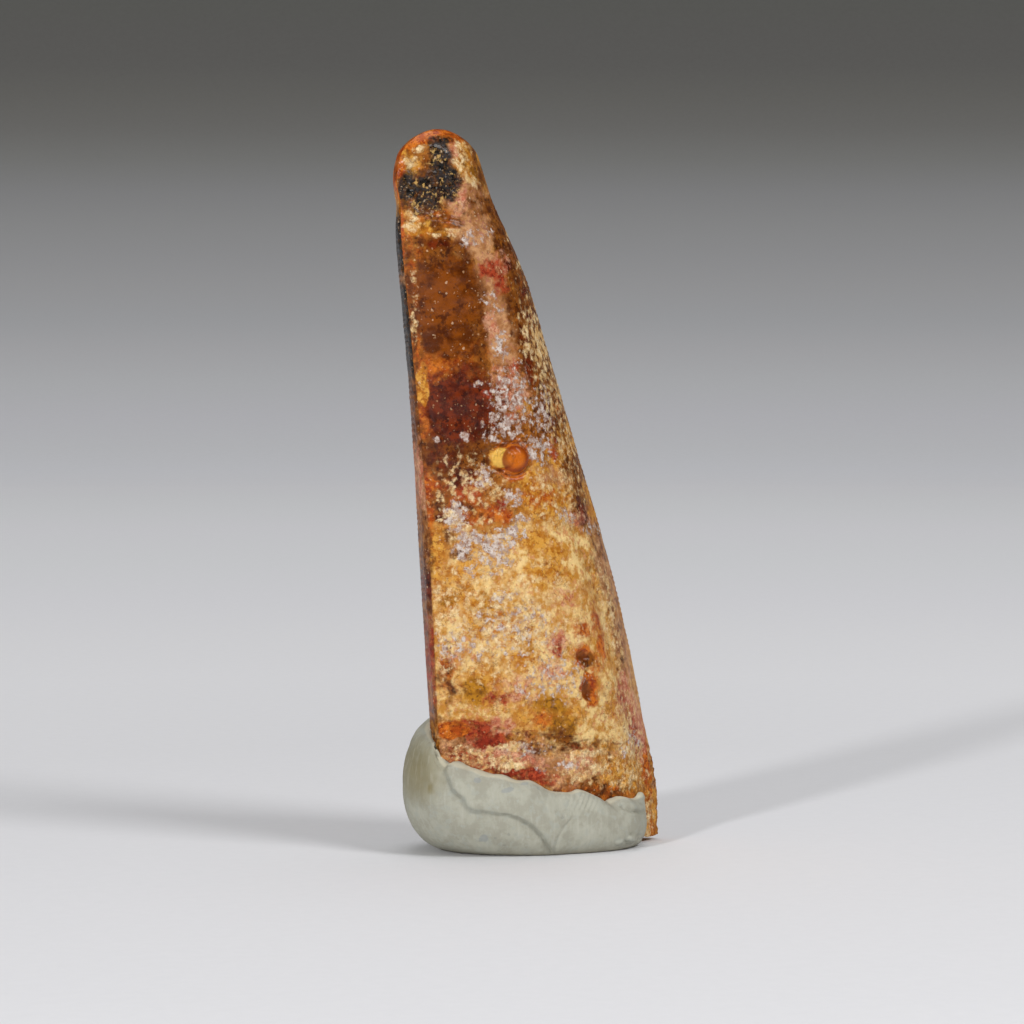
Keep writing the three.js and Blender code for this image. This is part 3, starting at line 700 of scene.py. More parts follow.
# Marks of the back face, placed as seen through the tooth from its show side.
BACK_MARKS = marks_of({
    Stain.CREAM: (
        (-2, 27, 9, 7.4, 1.1), (1.4, 18, 8.6, 6, 1.05),
    ),
    Stain.GOLD: (
        (-12, 69.5, 4, 3.6, 0.95), (-5.4, 56, 1.4, 4.6, 1, 10), (0.6, 38.6, 2.6, 4.2, 1.1, 10),
        (-6.4, 25.4, 3.2, 2.6, 0.9), (2, 28.6, 2.4, 1.6, 0.9), (6.4, 7.8, 5, 2.6, 1.2),
    ),
    Stain.OLIVE: (
        (-3.4, 20.6, 1.8, 1.6, 0.95), (3.4, 14.6, 2.2, 1.4, 0.9),
    ),
    Stain.ORANGE: (
        (-11.8, 73.4, 3.6, 1, 1.1, 4), (-11, 36.6, 1.6, 5.2, 1.1, 4), (-3, 38, 3.2, 2.6, 1.05),
        (5.4, 22, 0.7, 2.4, 0.72, 8), (-9.6, 12.6, 2.2, 1, 1.1),
    ),
    Stain.TAN: (
        (-9.4, 64.5, 2.6, 2.6, 1.1, 8), (-5, 50, 1.4, 5, 1.1, 10), (0, 9.6, 9, 2.2, 1.1, -6),
    ),
    Stain.AMBER: (
        (-9.8, 53.5, 4.2, 7, 1.35, 6),
    ),
    Stain.BROWN: (
        (-11, 60.8, 4.2, 1.8, 1), (-2.6, 52, 1.5, 8, 1.1, 12), (-4.4, 43, 4.6, 5, 1.1, 8),
        (2.6, 36.4, 1, 4, 0.66, 14), (-9, 17.4, 0.8, 2.6, 0.8), (6.6, 25, 0.9, 6, 0.57, 12),
    ),
    Stain.MAROON: (
        (-9.4, 44, 3.4, 4.2, 1.3),
    ),
    Stain.PINK: (
        (0.2, 22.8, 2, 1.4, 0.85, 20), (9, 12, 0.8, 3.2, 1, 8),
    ),
    Stain.CRIMSON: (
        (-5, 12.4, 2.8, 1.2, 1.1), (3, 9.2, 1.6, 0.8, 0.95),
    ),
    Stain.WHITE: (
        (-2.6, 45.5, 1.8, 4.4, 0.61, 12), (-9.6, 38.4, 2.4, 1.6, 0.78), (-4.6, 33.6, 3.2, 1.6, 0.74, 10),
    ),
    Stain.PALE: (
        (-10.6, 69, 2, 2.2, 0.9),
    ),
    Stain.BLACK: (
        (-13.4, 66.6, 1.2, 2.8, 0.9, 6),
    ),
})


@dataclass(frozen=True)
class Crack:
    """A hairline or step in the enamel: its line on the sight plane, half width and depth in mm."""

    line: tuple
    wide: float
    deep: float


@dataclass(frozen=True)
class Pit:
    """A small hollow: its middle on the sight plane, half sizes, tilt in degrees and depth in mm."""

    right: float
    up: float
    wide: float
    tall: float
    tilt: float
    deep: float

    def cover(self, right: np.ndarray, up: np.ndarray) -> np.ndarray:
        """How far inside the hollow places are, from 0 well outside to 1 in its middle."""
        return Mark(Stain.BROWN, self.right, self.up, self.wide, self.tall, 1.0, self.tilt).cover(right, up)


@dataclass(frozen=True)
class Sheet:
    """The tooth's smooth surface as rows and columns of points, before its fine relief."""

    points: np.ndarray
    # Share across and Side of each column, and where the points are seen on the sight plane.
    across: np.ndarray
    side: np.ndarray
    right: np.ndarray
    up: np.ndarray


@dataclass
class FossilTooth:
    """The mineralised tooth: its shape with all relief, and where each stain lies."""

    form: ToothForm
    body_rows: int = 470
    dome_rows: int = 46
    columns: int = 85
    heel_columns: int = 7
    # Middle on the sight plane and radius of each bead, and how high they stand.
    beads: tuple = ((-3.5, 40.0, 1.5), (-4.85, 40.15, 1.15))
    bead_heights: tuple = (0.7, 0.49)
    bead_ring: float = 0.3
    bead_ring_at: float = 1.12
    bead_ring_width: float = 0.15
    crystal_height: float = 0.17
    crystal_size: float = 0.62
    enamel_rough: float = 0.03
    dentine_rough: float = 0.16
    pock_depth: float = 0.16
    crust_height: float = 0.07
    heel_rough: float = 0.05
    apex_fade: float = 0.6
    apex_relief: float = 0.35
    denticle_pitch: float = 0.56
    denticle_height: float = 0.09
    heel_denticles: float = 0.3
    denticle_start: float = 13.0
    # Reach of the denticles on each edge, in mm, and the heights that they end at.
    rear_reach: float = 0.35
    rear_span: tuple = (13.0, 65.0)
    fore_reach: float = 0.4
    fore_span: tuple = (11.0, 68.0)
    # A mark this strong or stronger holds the others back.
    dense: float = 1.4
    # Share of the show face's stains that comes back on the hidden face, and how far all of them wander.
    echo_share: float = 0.8
    stain_wander: float = 0.28
    surface: np.ndarray = None
    pits: tuple = (
        Pit(3.7, 19.8, 0.72, 0.62, -30, 0.42), Pit(4.25, 16.2, 0.5, 1.25, 4, 0.45),
        Pit(4.1, 18.3, 0.3, 0.3, 0, 0.25), Pit(-11.8, 34.0, 0.26, 0.22, 0, 0.25),
        Pit(6.7, 8.9, 0.4, 0.2, -20, 0.3), Pit(5.0, 7.2, 0.3, 0.18, 0, 0.3),
        Pit(2.2, 10.6, 0.5, 0.16, 10, 0.3),
        Pit(-3.2, 7.9, 0.6, 0.14, -15, 0.25), Pit(7.6, 6.6, 0.25, 0.5, 10, 0.3),
    )
    cracks: tuple = (
        Crack(((-13.9, 66.3), (-12.4, 65.6), (-11.3, 65.6), (-10.4, 65.2)), 0.16, 0.22),
        Crack(((-9.7, 65.1), (-8.6, 64.6), (-7.2, 63.9), (-6.0, 63.5)), 0.12, 0.16),
        Crack(((-15.6, 70.0), (-14.6, 69.6), (-13.6, 69.8)), 0.12, 0.16),
        Crack(((-12.3, 48.9), (-12.6, 46.0), (-12.0, 44.0), (-11.8, 43.6)), 0.1, 0.1),
        Crack(((-10.9, 49.6), (-11.1, 46.4), (-10.7, 44.4)), 0.08, 0.06),
        Crack(((-4.6, 37.2), (-5.6, 36.6), (-6.9, 36.9)), 0.1, 0.12),
        Crack(((5.6, 23.8), (6.2, 21.6), (6.3, 19.6), (5.8, 17.8)), 0.22, 0.1),
        Crack(((-10.6, 21.0), (-10.2, 17.6), (-10.4, 14.6)), 0.12, 0.09),
        Crack(((-11.0, 14.0), (-8.0, 13.9), (-5.4, 12.8), (-2.6, 12.0)), 0.14, 0.14),
        Crack(((1.4, 11.4), (3.6, 10.8), (6.0, 10.4), (8.2, 9.9)), 0.12, 0.12),
    )

    def build(self) -> bpy.types.Object:
        """Builds the tooth with its stains.

        Returns:
            The tooth, which stands for the frame's own tooth.
        """
        levels = self.form.levels(self.body_rows, self.dome_rows)
        points, across, side = self.form.shell(levels, self.columns, self.heel_columns)
        right, up = sight_plane(points)
        sheet = Sheet(points, across, side, right, up)
        height, chip, dentine = self._relief(sheet)
        top_fade = np.clip((self.form.top - points[..., 2]) / self.apex_fade, 0, 1)
        kept = self.apex_relief + (1 - self.apex_relief) * top_fade
        self.surface = points + grid_normals(points) * (height * kept)[..., None]
        self.surface += self._denticles(sheet)
        piece = self._mesh(self.surface)
        self._stains(piece, sheet)
        show = (side == Side.SHOW)[None, :]
        # The small bead's cover: the finish paints it pale yellow, its own colour and partly a painted
        # highlight on its lit left side.
        bead, bud_and_highlight = [np.clip(1 - np.hypot(right - r, up - u) / size, 0, 1) * show
                     for r, u, size in self.beads]
        # The hollow mask is the depth of each sunken place; the finish darkens by it as painted shade in
        # pits, cracks and the bead's ring, over their own brown.
        masks = {"chip": chip, "dentine": dentine, "hollow": -height, "bead": bead, "bud_and_highlight": bud_and_highlight}
        for name, values in masks.items():
            write_mask(piece, name, self._with_apex(values))
        return piece

    def _relief(self, sheet: Sheet) -> tuple:
        """Fine relief of the whole tooth.

        Args:
            sheet: the smooth surface.

        Returns:
            The height outwards, the cover of the chipped place and the cover of the bare dentine.
        """
        points, across, right, up = sheet.points, sheet.across, sheet.right, sheet.up
        z, form, show = points[..., 2], self.form, (sheet.side == Side.SHOW)[None, :]
        warp = Grain(3).layers(points, 3.0, 3)
        worn = Grain(5).layers(points, 1.7, 3)
        coarse = Grain(8).layers(points, 0.95, 3, 0.6)
        dentine = 1 - smooth_step((z - form.enamel_edge(across)[None, :] + 0.5 * warp) / form.enamel_step)
        chip = smooth_step(1.5 * (1.15 - form.from_chip(across[None, :], z) + 0.35 * warp)) * show
        height = self.enamel_rough * worn * (1 - dentine)
        height += self.dentine_rough * coarse * dentine
        height -= self.pock_depth * smooth_step((coarse - 0.45) / 0.4) * dentine
        crystals = Grain(12).layers(points, self.crystal_size, 2, 0.7)
        height += self.crystal_height * np.abs(crystals) * chip
        for pit in self.pits:
            inside = pit.cover(right + 0.1 * worn, up + 0.1 * warp) - 0.3
            height -= pit.deep * smooth_step(1.6 * inside) * show
        for crack in self.cracks:
            away, along = from_polyline(right + 0.12 * worn, up + 0.16 * coarse, crack.line)
            taper = smooth_step(6 * along) * smooth_step(6 * (1 - along))
            height -= crack.deep * bell(away, crack.wide) * taper * show
        for (bead_right, bead_up, radius), tall in zip(self.beads, self.bead_heights):
            from_bead = np.hypot(right - bead_right, up - bead_up) / radius
            dome = np.sqrt(np.clip(1 - from_bead**2, 0, 1))
            height = np.maximum(height, tall * dome * show + np.minimum(height, 0))
            ring = bell(from_bead - self.bead_ring_at, self.bead_ring_width) * (from_bead > 1)
            height -= self.bead_ring * ring * show
        crust = self._cover(SHOW_MARKS, Stain.WHITE, right, up) * show
        crumbs = crust - 0.5 + 0.5 * Grain(21).layers(points, 0.8, 2)
        height += self.crust_height * smooth_step(crumbs / 0.3)
        heel = (sheet.side == Side.HEEL)[None, :]
        height += self.heel_rough * Grain(30).layers(points, 0.9, 2) * heel
        return height, chip, dentine

    def _denticles(self, sheet: Sheet) -> np.ndarray:
        """Low worn denticles along both edges.

        Args:
            sheet: the smooth surface.

        Returns:
            How far each point is moved.
        """
        z = sheet.points[..., 2]
        breadth = self.form.breadth(z)
        wave = 0.5 - 0.5 * np.cos(2 * np.pi * (z - self.denticle_start) / self.denticle_pitch)
        worn = np.clip(0.4 + 0.9 * Grain(17).at(sheet.points, 3.0), 0.05, 1)
        push = np.zeros(z.shape)
        for outwards, from_edge, reach, (low, high) in (
                (-1, sheet.across[None, :], self.rear_reach, self.rear_span),
                (1, 1 - sheet.across[None, :], self.fore_reach, self.fore_span)):
            span = smooth_step((z - low) / 1.5) * smooth_step((high - z) / 2)
            push += outwards * bell(from_edge * breadth, reach) * span
        moved = np.zeros(sheet.points.shape)
        held = np.where(sheet.side == Side.HEEL, self.heel_denticles, 1.0)[None, :]
        moved[..., 0] = wave * worn * self.denticle_height * push * held
        return moved

    def _cover(self, marks: tuple, stain: Stain, right: np.ndarray, up: np.ndarray) -> np.ndarray:
        """Cover of one stain: the strongest of its marks at each place.

        Args:
            marks: the marks of the face.
            stain: the stain.
            right: places to the right.
            up: places upwards.

        Returns:
            The cover of each place.
        """
        total = np.zeros(right.shape)
        for mark in marks:
            if mark.stain is stain:
                total = np.maximum(total, mark.cover(right, up))
        return total

    def _layer(self, marks: tuple, stain: Stain, right: np.ndarray, up: np.ndarray) -> np.ndarray:
        """Cover of one stain, held back where a dense mark of another one lies.

        Args:
            marks: the marks of the face.
            stain: the stain.
            right: places to the right.
            up: places upwards.

        Returns:
            The cover of each place.
        """
        thin = tuple(mark for mark in marks if mark.strength < self.dense)
        dense = tuple(mark for mark in marks if mark.strength >= self.dense)
        others = np.zeros(right.shape)
        for mark in dense:
            if mark.stain is not stain:
                others = np.maximum(others, mark.cover(right, up) / mark.strength)
        held = 1 - smooth_step((others - 0.45) / 0.15)
        return np.maximum(self._cover(thin, stain, right, up) * held, self._cover(dense, stain, right, up))

    def _heel(self, stain: Stain, z: np.ndarray) -> np.ndarray:
        """Cover of one stain on the heel strip.

        Args:
            stain: the stain.
            z: heights.

        Returns:
            The cover of each height.
        """
        total = np.zeros(z.shape)
        for kind, middle, half, strength in HEEL_MARKS:
            if kind is stain:
                total = np.maximum(total, strength * np.clip(1 - 0.5 * ((z - middle) / half) ** 2, 0, 1))
        return total

    def _stains(self, piece: bpy.types.Object, sheet: Sheet) -> None:
        """Writes the cover of every stain as a mask of the mesh.

        Args:
            piece: the tooth.
            sheet: the smooth surface.
        """
        points, right, up = sheet.points, sheet.right, sheet.up
        z, across, side = points[..., 2], sheet.across[None, :], sheet.side[None, :]
        wander = self.stain_wander * Grain(40).layers(points, 1.6, 2)
        drift = self.stain_wander * Grain(41).layers(points, 1.6, 2)
        mirrored = right.min(axis=1, keepdims=True) + right.max(axis=1, keepdims=True) - right
        near_fore = smooth_step((across - 0.93) / 0.07)
        near_rear = 1 - smooth_step((across * self.form.breadth(z) - 0.4) / 0.6)
        for stain in Stain:
            show = self._layer(SHOW_MARKS, stain, right + wander, up + drift)
            back = self._layer(BACK_MARKS, stain, right + 2 * wander, up + 2 * drift)
            if stain is not Stain.BLACK:
                echo = self._layer(SHOW_MARKS, stain, mirrored + 4 * wander, up + 6 * drift)
                back = np.maximum(back, self.echo_share * echo)
            heel = self._heel(stain, z + 2.5 * drift)
            back = back * (1 - near_fore) + show * near_fore
            back = back * (1 - near_rear) + heel * near_rear
            cover = np.select([side == Side.SHOW, side == Side.BACK], [show, back], heel)
            write_mask(piece, "stain_" + stain.value, self._with_apex(cover))

    def _with_apex(self, values: np.ndarray) -> np.ndarray:
        """One value per vertex: the grid's, then one for the crown's apex."""
        return np.append(values.reshape(-1), values[-1].mean())

    def _mesh(self, points: np.ndarray) -> bpy.types.Object:
        """Closes the side surface with an apex above and a foot below.

        Args:
            points: rows and columns of points.

        Returns:
            The tooth's object.
        """
        rows, ring = points.shape[:2]
        apex = points[-1].mean(axis=0)
        apex[2] = self.form.top
        last, n = (rows - 1) * ring, self.columns
        caps = [(last + i, last + (i + 1) % ring, rows * ring) for i in range(ring)]
        for i in range(n - 2):
            caps.append((i, 2 * n - 2 - i, 2 * n - 3 - i, i + 1))
        caps.append((n - 2, n, n - 1))
        caps.append((0, *range(ring - 1, 2 * n - 3, -1)))
        vertices = np.vstack([points.reshape(-1, 3), apex])
        return mesh_object("fossil_tooth", vertices, ring_quads(rows, ring), caps)


@dataclass(frozen=True)
class Ridges:
    """Finger ridges in the clay: middle on the sight plane, spacing and height in mm, slant and bend."""

    place: tuple = (3.9, 4.7)
    pitch: float = 0.46
    height: float = 0.036
    slant: float = 0.35
    bend: float = 0.05

    def patch(self, dx: np.ndarray, dy: np.ndarray) -> np.ndarray:
        """Where the ridges show: one clear print with a faint one round it."""
        clear = np.exp(-((dx / 1.3) ** 2) - (dy / 1.0) ** 2)
        return clear + 0.35 * np.exp(-((dx / 3.4) ** 2) - (dy / 2.2) ** 2)

    def front(self, right: np.ndarray, up: np.ndarray) -> np.ndarray:
        """Height of the ridges on the show side.

        Args:
            right: places to the right.
            up: places upwards.

        Returns:
            The height outwards.
        """
        dx, dy = right - self.place[0], up - self.place[1]
        run = dx * math.cos(self.slant) - dy * math.sin(self.slant) + self.bend * dy * dy
        return self.height * np.sin(2 * np.pi * run / self.pitch) * self.patch(dx, dy)

    def back(self, x: np.ndarray, z: np.ndarray) -> np.ndarray:
        """Height of the fainter ridges on the hidden side.

        Args:
            x: places along the plan's x axis.
            z: heights.

        Returns:
            The height outwards.
        """
        patch = np.exp(-(((x - 3) / 4) ** 2) - ((z - 6) / 2.2) ** 2)
        return 0.5 * self.height * np.sin(2 * np.pi * (z + 0.2 * x) / self.pitch) * patch


@dataclass
class ClayBase:
    """The lump of modelling clay pressed round the foot of the tooth."""

    form: ToothForm
    middle: tuple = (-1.5, 0.8)
    # Direction in degrees, reach of the widest level, its height, reach of the foot, reach of the top edge.
    sides: list = field(default_factory=lambda: [
        (0, 12.9, 2.4, 11.0, 10.9), (20, 13.5, 3.0, 11.5, 9.1), (40, 12.3, 4.2, 9.6, 7.1),
        (60, 10.9, 5.4, 8.2, 5.7), (80, 10.4, 6.2, 7.4, 4.9), (100, 10.7, 6.6, 7.4, 4.8),
        (120, 11.5, 6.9, 7.8, 5.1), (140, 12.5, 7.0, 8.4, 6.3), (160, 13.4, 6.9, 8.8, 8.2),
        (180, 13.9, 6.6, 8.2, 10.8), (200, 12.9, 5.9, 7.2, 10.1), (220, 10.2, 4.9, 6.6, 7.7),
        (240, 8.8, 4.0, 6.4, 6.4), (260, 8.2, 3.4, 6.4, 5.8), (280, 8.4, 3.0, 6.5, 5.8),
        (300, 9.6, 2.8, 7.6, 6.6), (320, 11.3, 2.6, 9.3, 7.8), (340, 12.2, 2.4, 10.8, 10.0),
    ])
    # Direction in degrees and height of the edge where the clay meets the tooth.
    lip: list = field(default_factory=lambda: [
        (0, 4.6), (10, 5.0), (20, 5.8), (30, 6.6), (40, 8.1), (50, 9.7), (60, 11.0), (70, 12.3), (80, 13.2),
        (92, 13.8), (104, 14.5), (116, 14.7), (128, 14.9), (140, 14.5), (152, 14.2), (164, 13.7), (176, 12.9),
        (186, 12.0), (191, 11.2), (193, 10.2), (195, 9.5), (198, 9.75), (203, 9.35), (213, 8.5), (220, 8.35),
        (230, 7.85), (242, 7.8), (248, 7.4), (258, 6.75), (270, 6.5), (279, 6.45), (284, 6.6), (295, 6.15),
        (303, 5.6), (308, 5.1), (314, 5.35), (320, 5.5), (334, 5.1), (342, 5.4), (348, 4.8),
    ])
    # Between these directions the keel stands clear of the clay, so the top edge has a reach of its own.
    open_from: float = 346.0
    open_to: float = 22.0
    lip_gap: float = 0.12
    lip_thick: float = 0.4
    centre_height: float = 9.5
    level_share: float = 0.4
    columns: int = 480
    foot_rows: int = 6
    under_rows: int = 34
    over_rows: int = 66
    top_rows: int = 14
    press_height: float = 24.0
    press_gap: float = 0.02
    lump_height: float = 0.06
    dent_height: float = 0.05
    grain_height: float = 0.025
    fold_step: float = 0.27
    fold_reach: float = 3.2
    fold_depth: float = 0.13
    fold: tuple = ((-10.3, 7.0), (-9.9, 5.9), (-8.9, 5.1), (-8.4, 4.1), (-7.4, 3.7), (-5.2, 3.5), (-4.0, 3.3),
                   (-2.9, 2.9), (-1.5, 2.1), (-0.7, 1.2), (0.0, 0.3), (0.6, -0.7))
    creases: tuple = (
        Crack(((2.9, 3.3), (1.9, 2.2), (1.15, 0.9), (0.6, -0.7)), 0.16, 0.09),
        Crack(((7.6, 4.4), (8.3, 4.0), (8.9, 3.75), (9.9, 3.6), (10.6, 3.9)), 0.2, 0.32),
        Crack(((-11.7, 9.0), (-11.2, 8.2), (-10.4, 7.4)), 0.14, 0.08),
        Crack(((7.2, -0.1), (8.2, 0.5), (9.0, 0.4), (9.8, 0.9)), 0.16, 0.2),
        Crack(((8.6, 1.4), (9.1, 1.0), (9.8, 1.3)), 0.14, 0.16),
    )
    # A depth below nothing stands out as a lump.
    nubs: tuple = (
        Pit(9.9, 5.3, 0.8, 0.45, -10, -0.2), Pit(8.8, 0.9, 0.6, 0.4, 15, -0.26),
        Pit(7.6, 0.4, 0.6, 0.35, 0, -0.22),
        Pit(9.6, 0.5, 0.45, 0.4, 0, -0.24), Pit(-9.9, 8.7, 1.6, 0.7, -10, -0.12),
        Pit(-6.0, 7.6, 2.2, 0.6, -12, -0.1), Pit(-11.5, 10.4, 0.3, 0.3, 0, 0.5),
        Pit(-11.4, 9.5, 0.28, 0.22, 0, 0.45),
    )
    ridges: Ridges = Ridges()
    # Soiled places: middle on the sight plane, half sizes, strength and tilt.
    ochre: tuple = ((-13.4, 8.0, 2.2, 3.0, 0.9, 10), (-12.0, 6.1, 0.5, 0.7, 1.0, 0))
    smudges: tuple = ((-4.2, 5.9, 0.7, 0.3, 0.9, 15), (-6.6, 0.9, 0.5, 0.4, 0.9, 15),
                      (-2.4, 6.6, 0.4, 0.2, 0.9, 15), (-7.4, 6.9, 0.4, 0.3, 0.9, 15))

    def build(self, tooth_surface: np.ndarray) -> bpy.types.Object:
        """Builds the lump and presses the tooth into it.

        Args:
            tooth_surface: rows and columns of points of the tooth, in mm.

        Returns:
            The clay, which stands for the frame's own lump.
        """
        lump = self._lump()
        cutter = self._cutter(tooth_surface)
        press = lump.modifiers.new("press", "BOOLEAN")
        press.operation, press.solver, press.object = "DIFFERENCE", "MANIFOLD", cutter
        bpy.context.view_layer.update()
        evaluated = lump.evaluated_get(bpy.context.evaluated_depsgraph_get())
        pressed = bpy.data.meshes.new_from_object(evaluated)
        lump.modifiers.clear()
        lump.data = pressed
        pressed.name = "modelling_clay"
        bpy.data.objects.remove(cutter)
        self._stains(lump)
        return lump

    def _lump(self) -> bpy.types.Object:
        """Builds the lump before the tooth is pressed into it.

        Returns:
            The plain lump with its folds.
        """
        turn = np.arange(self.columns) * 360 / self.columns
        wide, wide_z, foot, edge = (stations(self.sides, k, turn, 360) for k in (1, 2, 3, 4))
        lip_z = stations(self.lip, 1, turn, 360)
        reach = np.array([self.form.reach(t, z, self.middle) for t, z in zip(turn, lip_z)])
        is_open = (turn < self.open_to) | (turn > self.open_from)
        lip = np.where(is_open, edge, np.minimum(reach + self.lip_gap, wide - self.lip_thick))
        rows = []
        for share in np.linspace(0, 1, self.foot_rows, endpoint=False)[1:]:
            rows.append((foot * share, np.zeros(self.columns)))
        for angle in np.linspace(0, np.pi / 2, self.under_rows, endpoint=False):
            rows.append((foot + (wide - foot) * np.sin(angle), wide_z * (1 - np.cos(angle))))
        for angle in np.linspace(0, np.pi / 2, self.over_rows):
            rows.append((lip + (wide - lip) * np.cos(angle), wide_z + (lip_z - wide_z) * np.sin(angle)))
        for share in np.linspace(0, 1, self.top_rows, endpoint=False)[1:]:
            inwards = max(share - self.level_share, 0) / (1 - self.level_share)
            rows.append((lip * (1 - share), lip_z + (self.centre_height - lip_z) * inwards))
        out, z = np.array(rows).transpose(1, 0, 2)
        angle = np.radians(turn)[None, :]
        x, y = self.middle[0] + out * np.cos(angle), self.middle[1] + out * np.sin(angle)
        points = self._relief(np.stack([x, y, z], axis=-1))
        poles = [[*self.middle, 0.0], [*self.middle, self.centre_height]]
        vertices = np.vstack([points.reshape(-1, 3), poles])
        count = len(rows)
        return mesh_object("modelling_clay", vertices, ring_quads(count, self.columns),
                           ring_caps(count, self.columns))

    def _relief(self, points: np.ndarray) -> np.ndarray:
        """Folds, creases, lumps and finger ridges of the lump.

        Args:
            points: rows and columns of points of the plain lump.

        Returns:
            The moved points.
        """
        normals = grid_normals(points)
        x, y, z = points[..., 0], points[..., 1], points[..., 2]
        right, up = sight_plane(points)
        facing = normals[..., 0] * math.sin(SHOW_TURN) - normals[..., 1] * math.cos(SHOW_TURN)
        front = smooth_step((facing + 0.1) / 0.3)
        height = self.lump_height * np.sin(0.9 * x + 0.6 * z) * np.cos(0.8 * y - 0.7 * z)
        height += self.dent_height * Grain(51).layers(points, 2.6, 2)
        height += self.grain_height * Grain(52).layers(points, 0.7, 2)
        wander = 0.12 * Grain(53).layers(points, 1.1, 2)
        away, _ = from_polyline(right, up + wander, self.fold)
        in_span = smooth_step((right + 10.9) / 0.6) * smooth_step((2.6 - right) / 2)
        step = smooth_step(away / 0.34 + 0.5) * (1 - smooth_step(away / self.fold_reach))
        height += self.fold_step * step * in_span * front
        height -= self.fold_depth * bell(away + 0.1, 0.12) * in_span * front
        for crease in self.creases:
            away, along = from_polyline(right + wander, up, crease.line)
            taper = smooth_step(5 * along + 0.3) * smooth_step(5 * (1 - along) + 0.3)
            height -= crease.deep * bell(away, crease.wide) * taper * front
        for nub in self.nubs:
            height -= nub.deep * smooth_step(2 * (nub.cover(right, up) - 0.45)) * front
        height += self.ridges.front(right, up) * front + self.ridges.back(x, z) * (1 - front)
        moved = points + normals * (height * np.clip(z, 0, 1))[..., None]
        moved[..., 2] = np.maximum(moved[..., 2], 0)
        return moved

    def _cutter(self, surface: np.ndarray) -> bpy.types.Object:
        """Closed copy of the tooth's lower part, a hair's breadth bigger all round.

        Args:
            surface: rows and columns of points of the tooth.

        Returns:
            The copy.
        """
        rows = surface[surface[:, :, 2].mean(axis=1) < self.press_height][::2, ::2]
        grown = rows + self.press_gap * grid_normals(rows)
        count, ring = grown.shape[:2]
        vertices = np.vstack([grown.reshape(-1, 3), grown[0].mean(axis=0), grown[-1].mean(axis=0)])
        return mesh_object("press_shape", vertices, ring_quads(count, ring), ring_caps(count, ring))

    def _stains(self, piece: bpy.types.Object) -> None:
        """Writes where the clay is stained, the fold line that the finish darkens as painted shade, the band
        along the top edge that it lightens as a painted highlight, and the foot, where it is darker.

        Args:
            piece: the clay.
        """
        co = np.zeros(len(piece.data.vertices) * 3)
        piece.data.vertices.foreach_get("co", co)
        points = co.reshape(-1, 3) / MM - PLAN_SHIFT
        right, up = sight_plane(points)
        turn = np.degrees(np.arctan2(points[:, 1] - self.middle[1], points[:, 0] - self.middle[0])) % 360
        wander = 0.4 * Grain(60).layers(points, 1.4, 2)
        towards = points[:, 0] * math.sin(SHOW_TURN) - points[:, 1] * math.cos(SHOW_TURN)
        front = (towards > -3).astype(float)
        for name, places, spread in (("ochre", self.ochre, 1.0), ("smudge", self.smudges, 0.5)):
            covers = [Mark(Stain.GOLD, *place).cover(right + spread * wander, up) for place in places]
            write_mask(piece, name, np.max(covers, axis=0) * front)
        away, _ = from_polyline(right, up, self.fold)
        # The crease mask runs along the fold; the finish darkens it as painted shade.
        write_mask(piece, "crease", bell(away, 0.3) * front * (right > -10.6) * (right < 0.9))
        # The rim mask is a band along the top edge; the finish lightens it as a painted highlight.
        write_mask(piece, "rim", bell(stations(self.lip, 1, turn, 360) - points[:, 2], 0.3))
        write_mask(piece, "foot", 1 - smooth_step(points[:, 2] / 0.8))


def tint(red: int, green: int, blue: int) -> tuple:
    """Linear colour with full cover from screen values.

    Args:
        red: red, 0 to 255.
        green: green, 0 to 255.
        blue: blue, 0 to 255.

    Returns:
        The colour's four linear values.
    """
    shares = (value / 255 for value in (red, green, blue))
    linear = (share / 12.92 if share <= 0.04045 else ((share + 0.055) / 1.055) ** 2.4 for share in shares)
    return (*linear, 1.0)


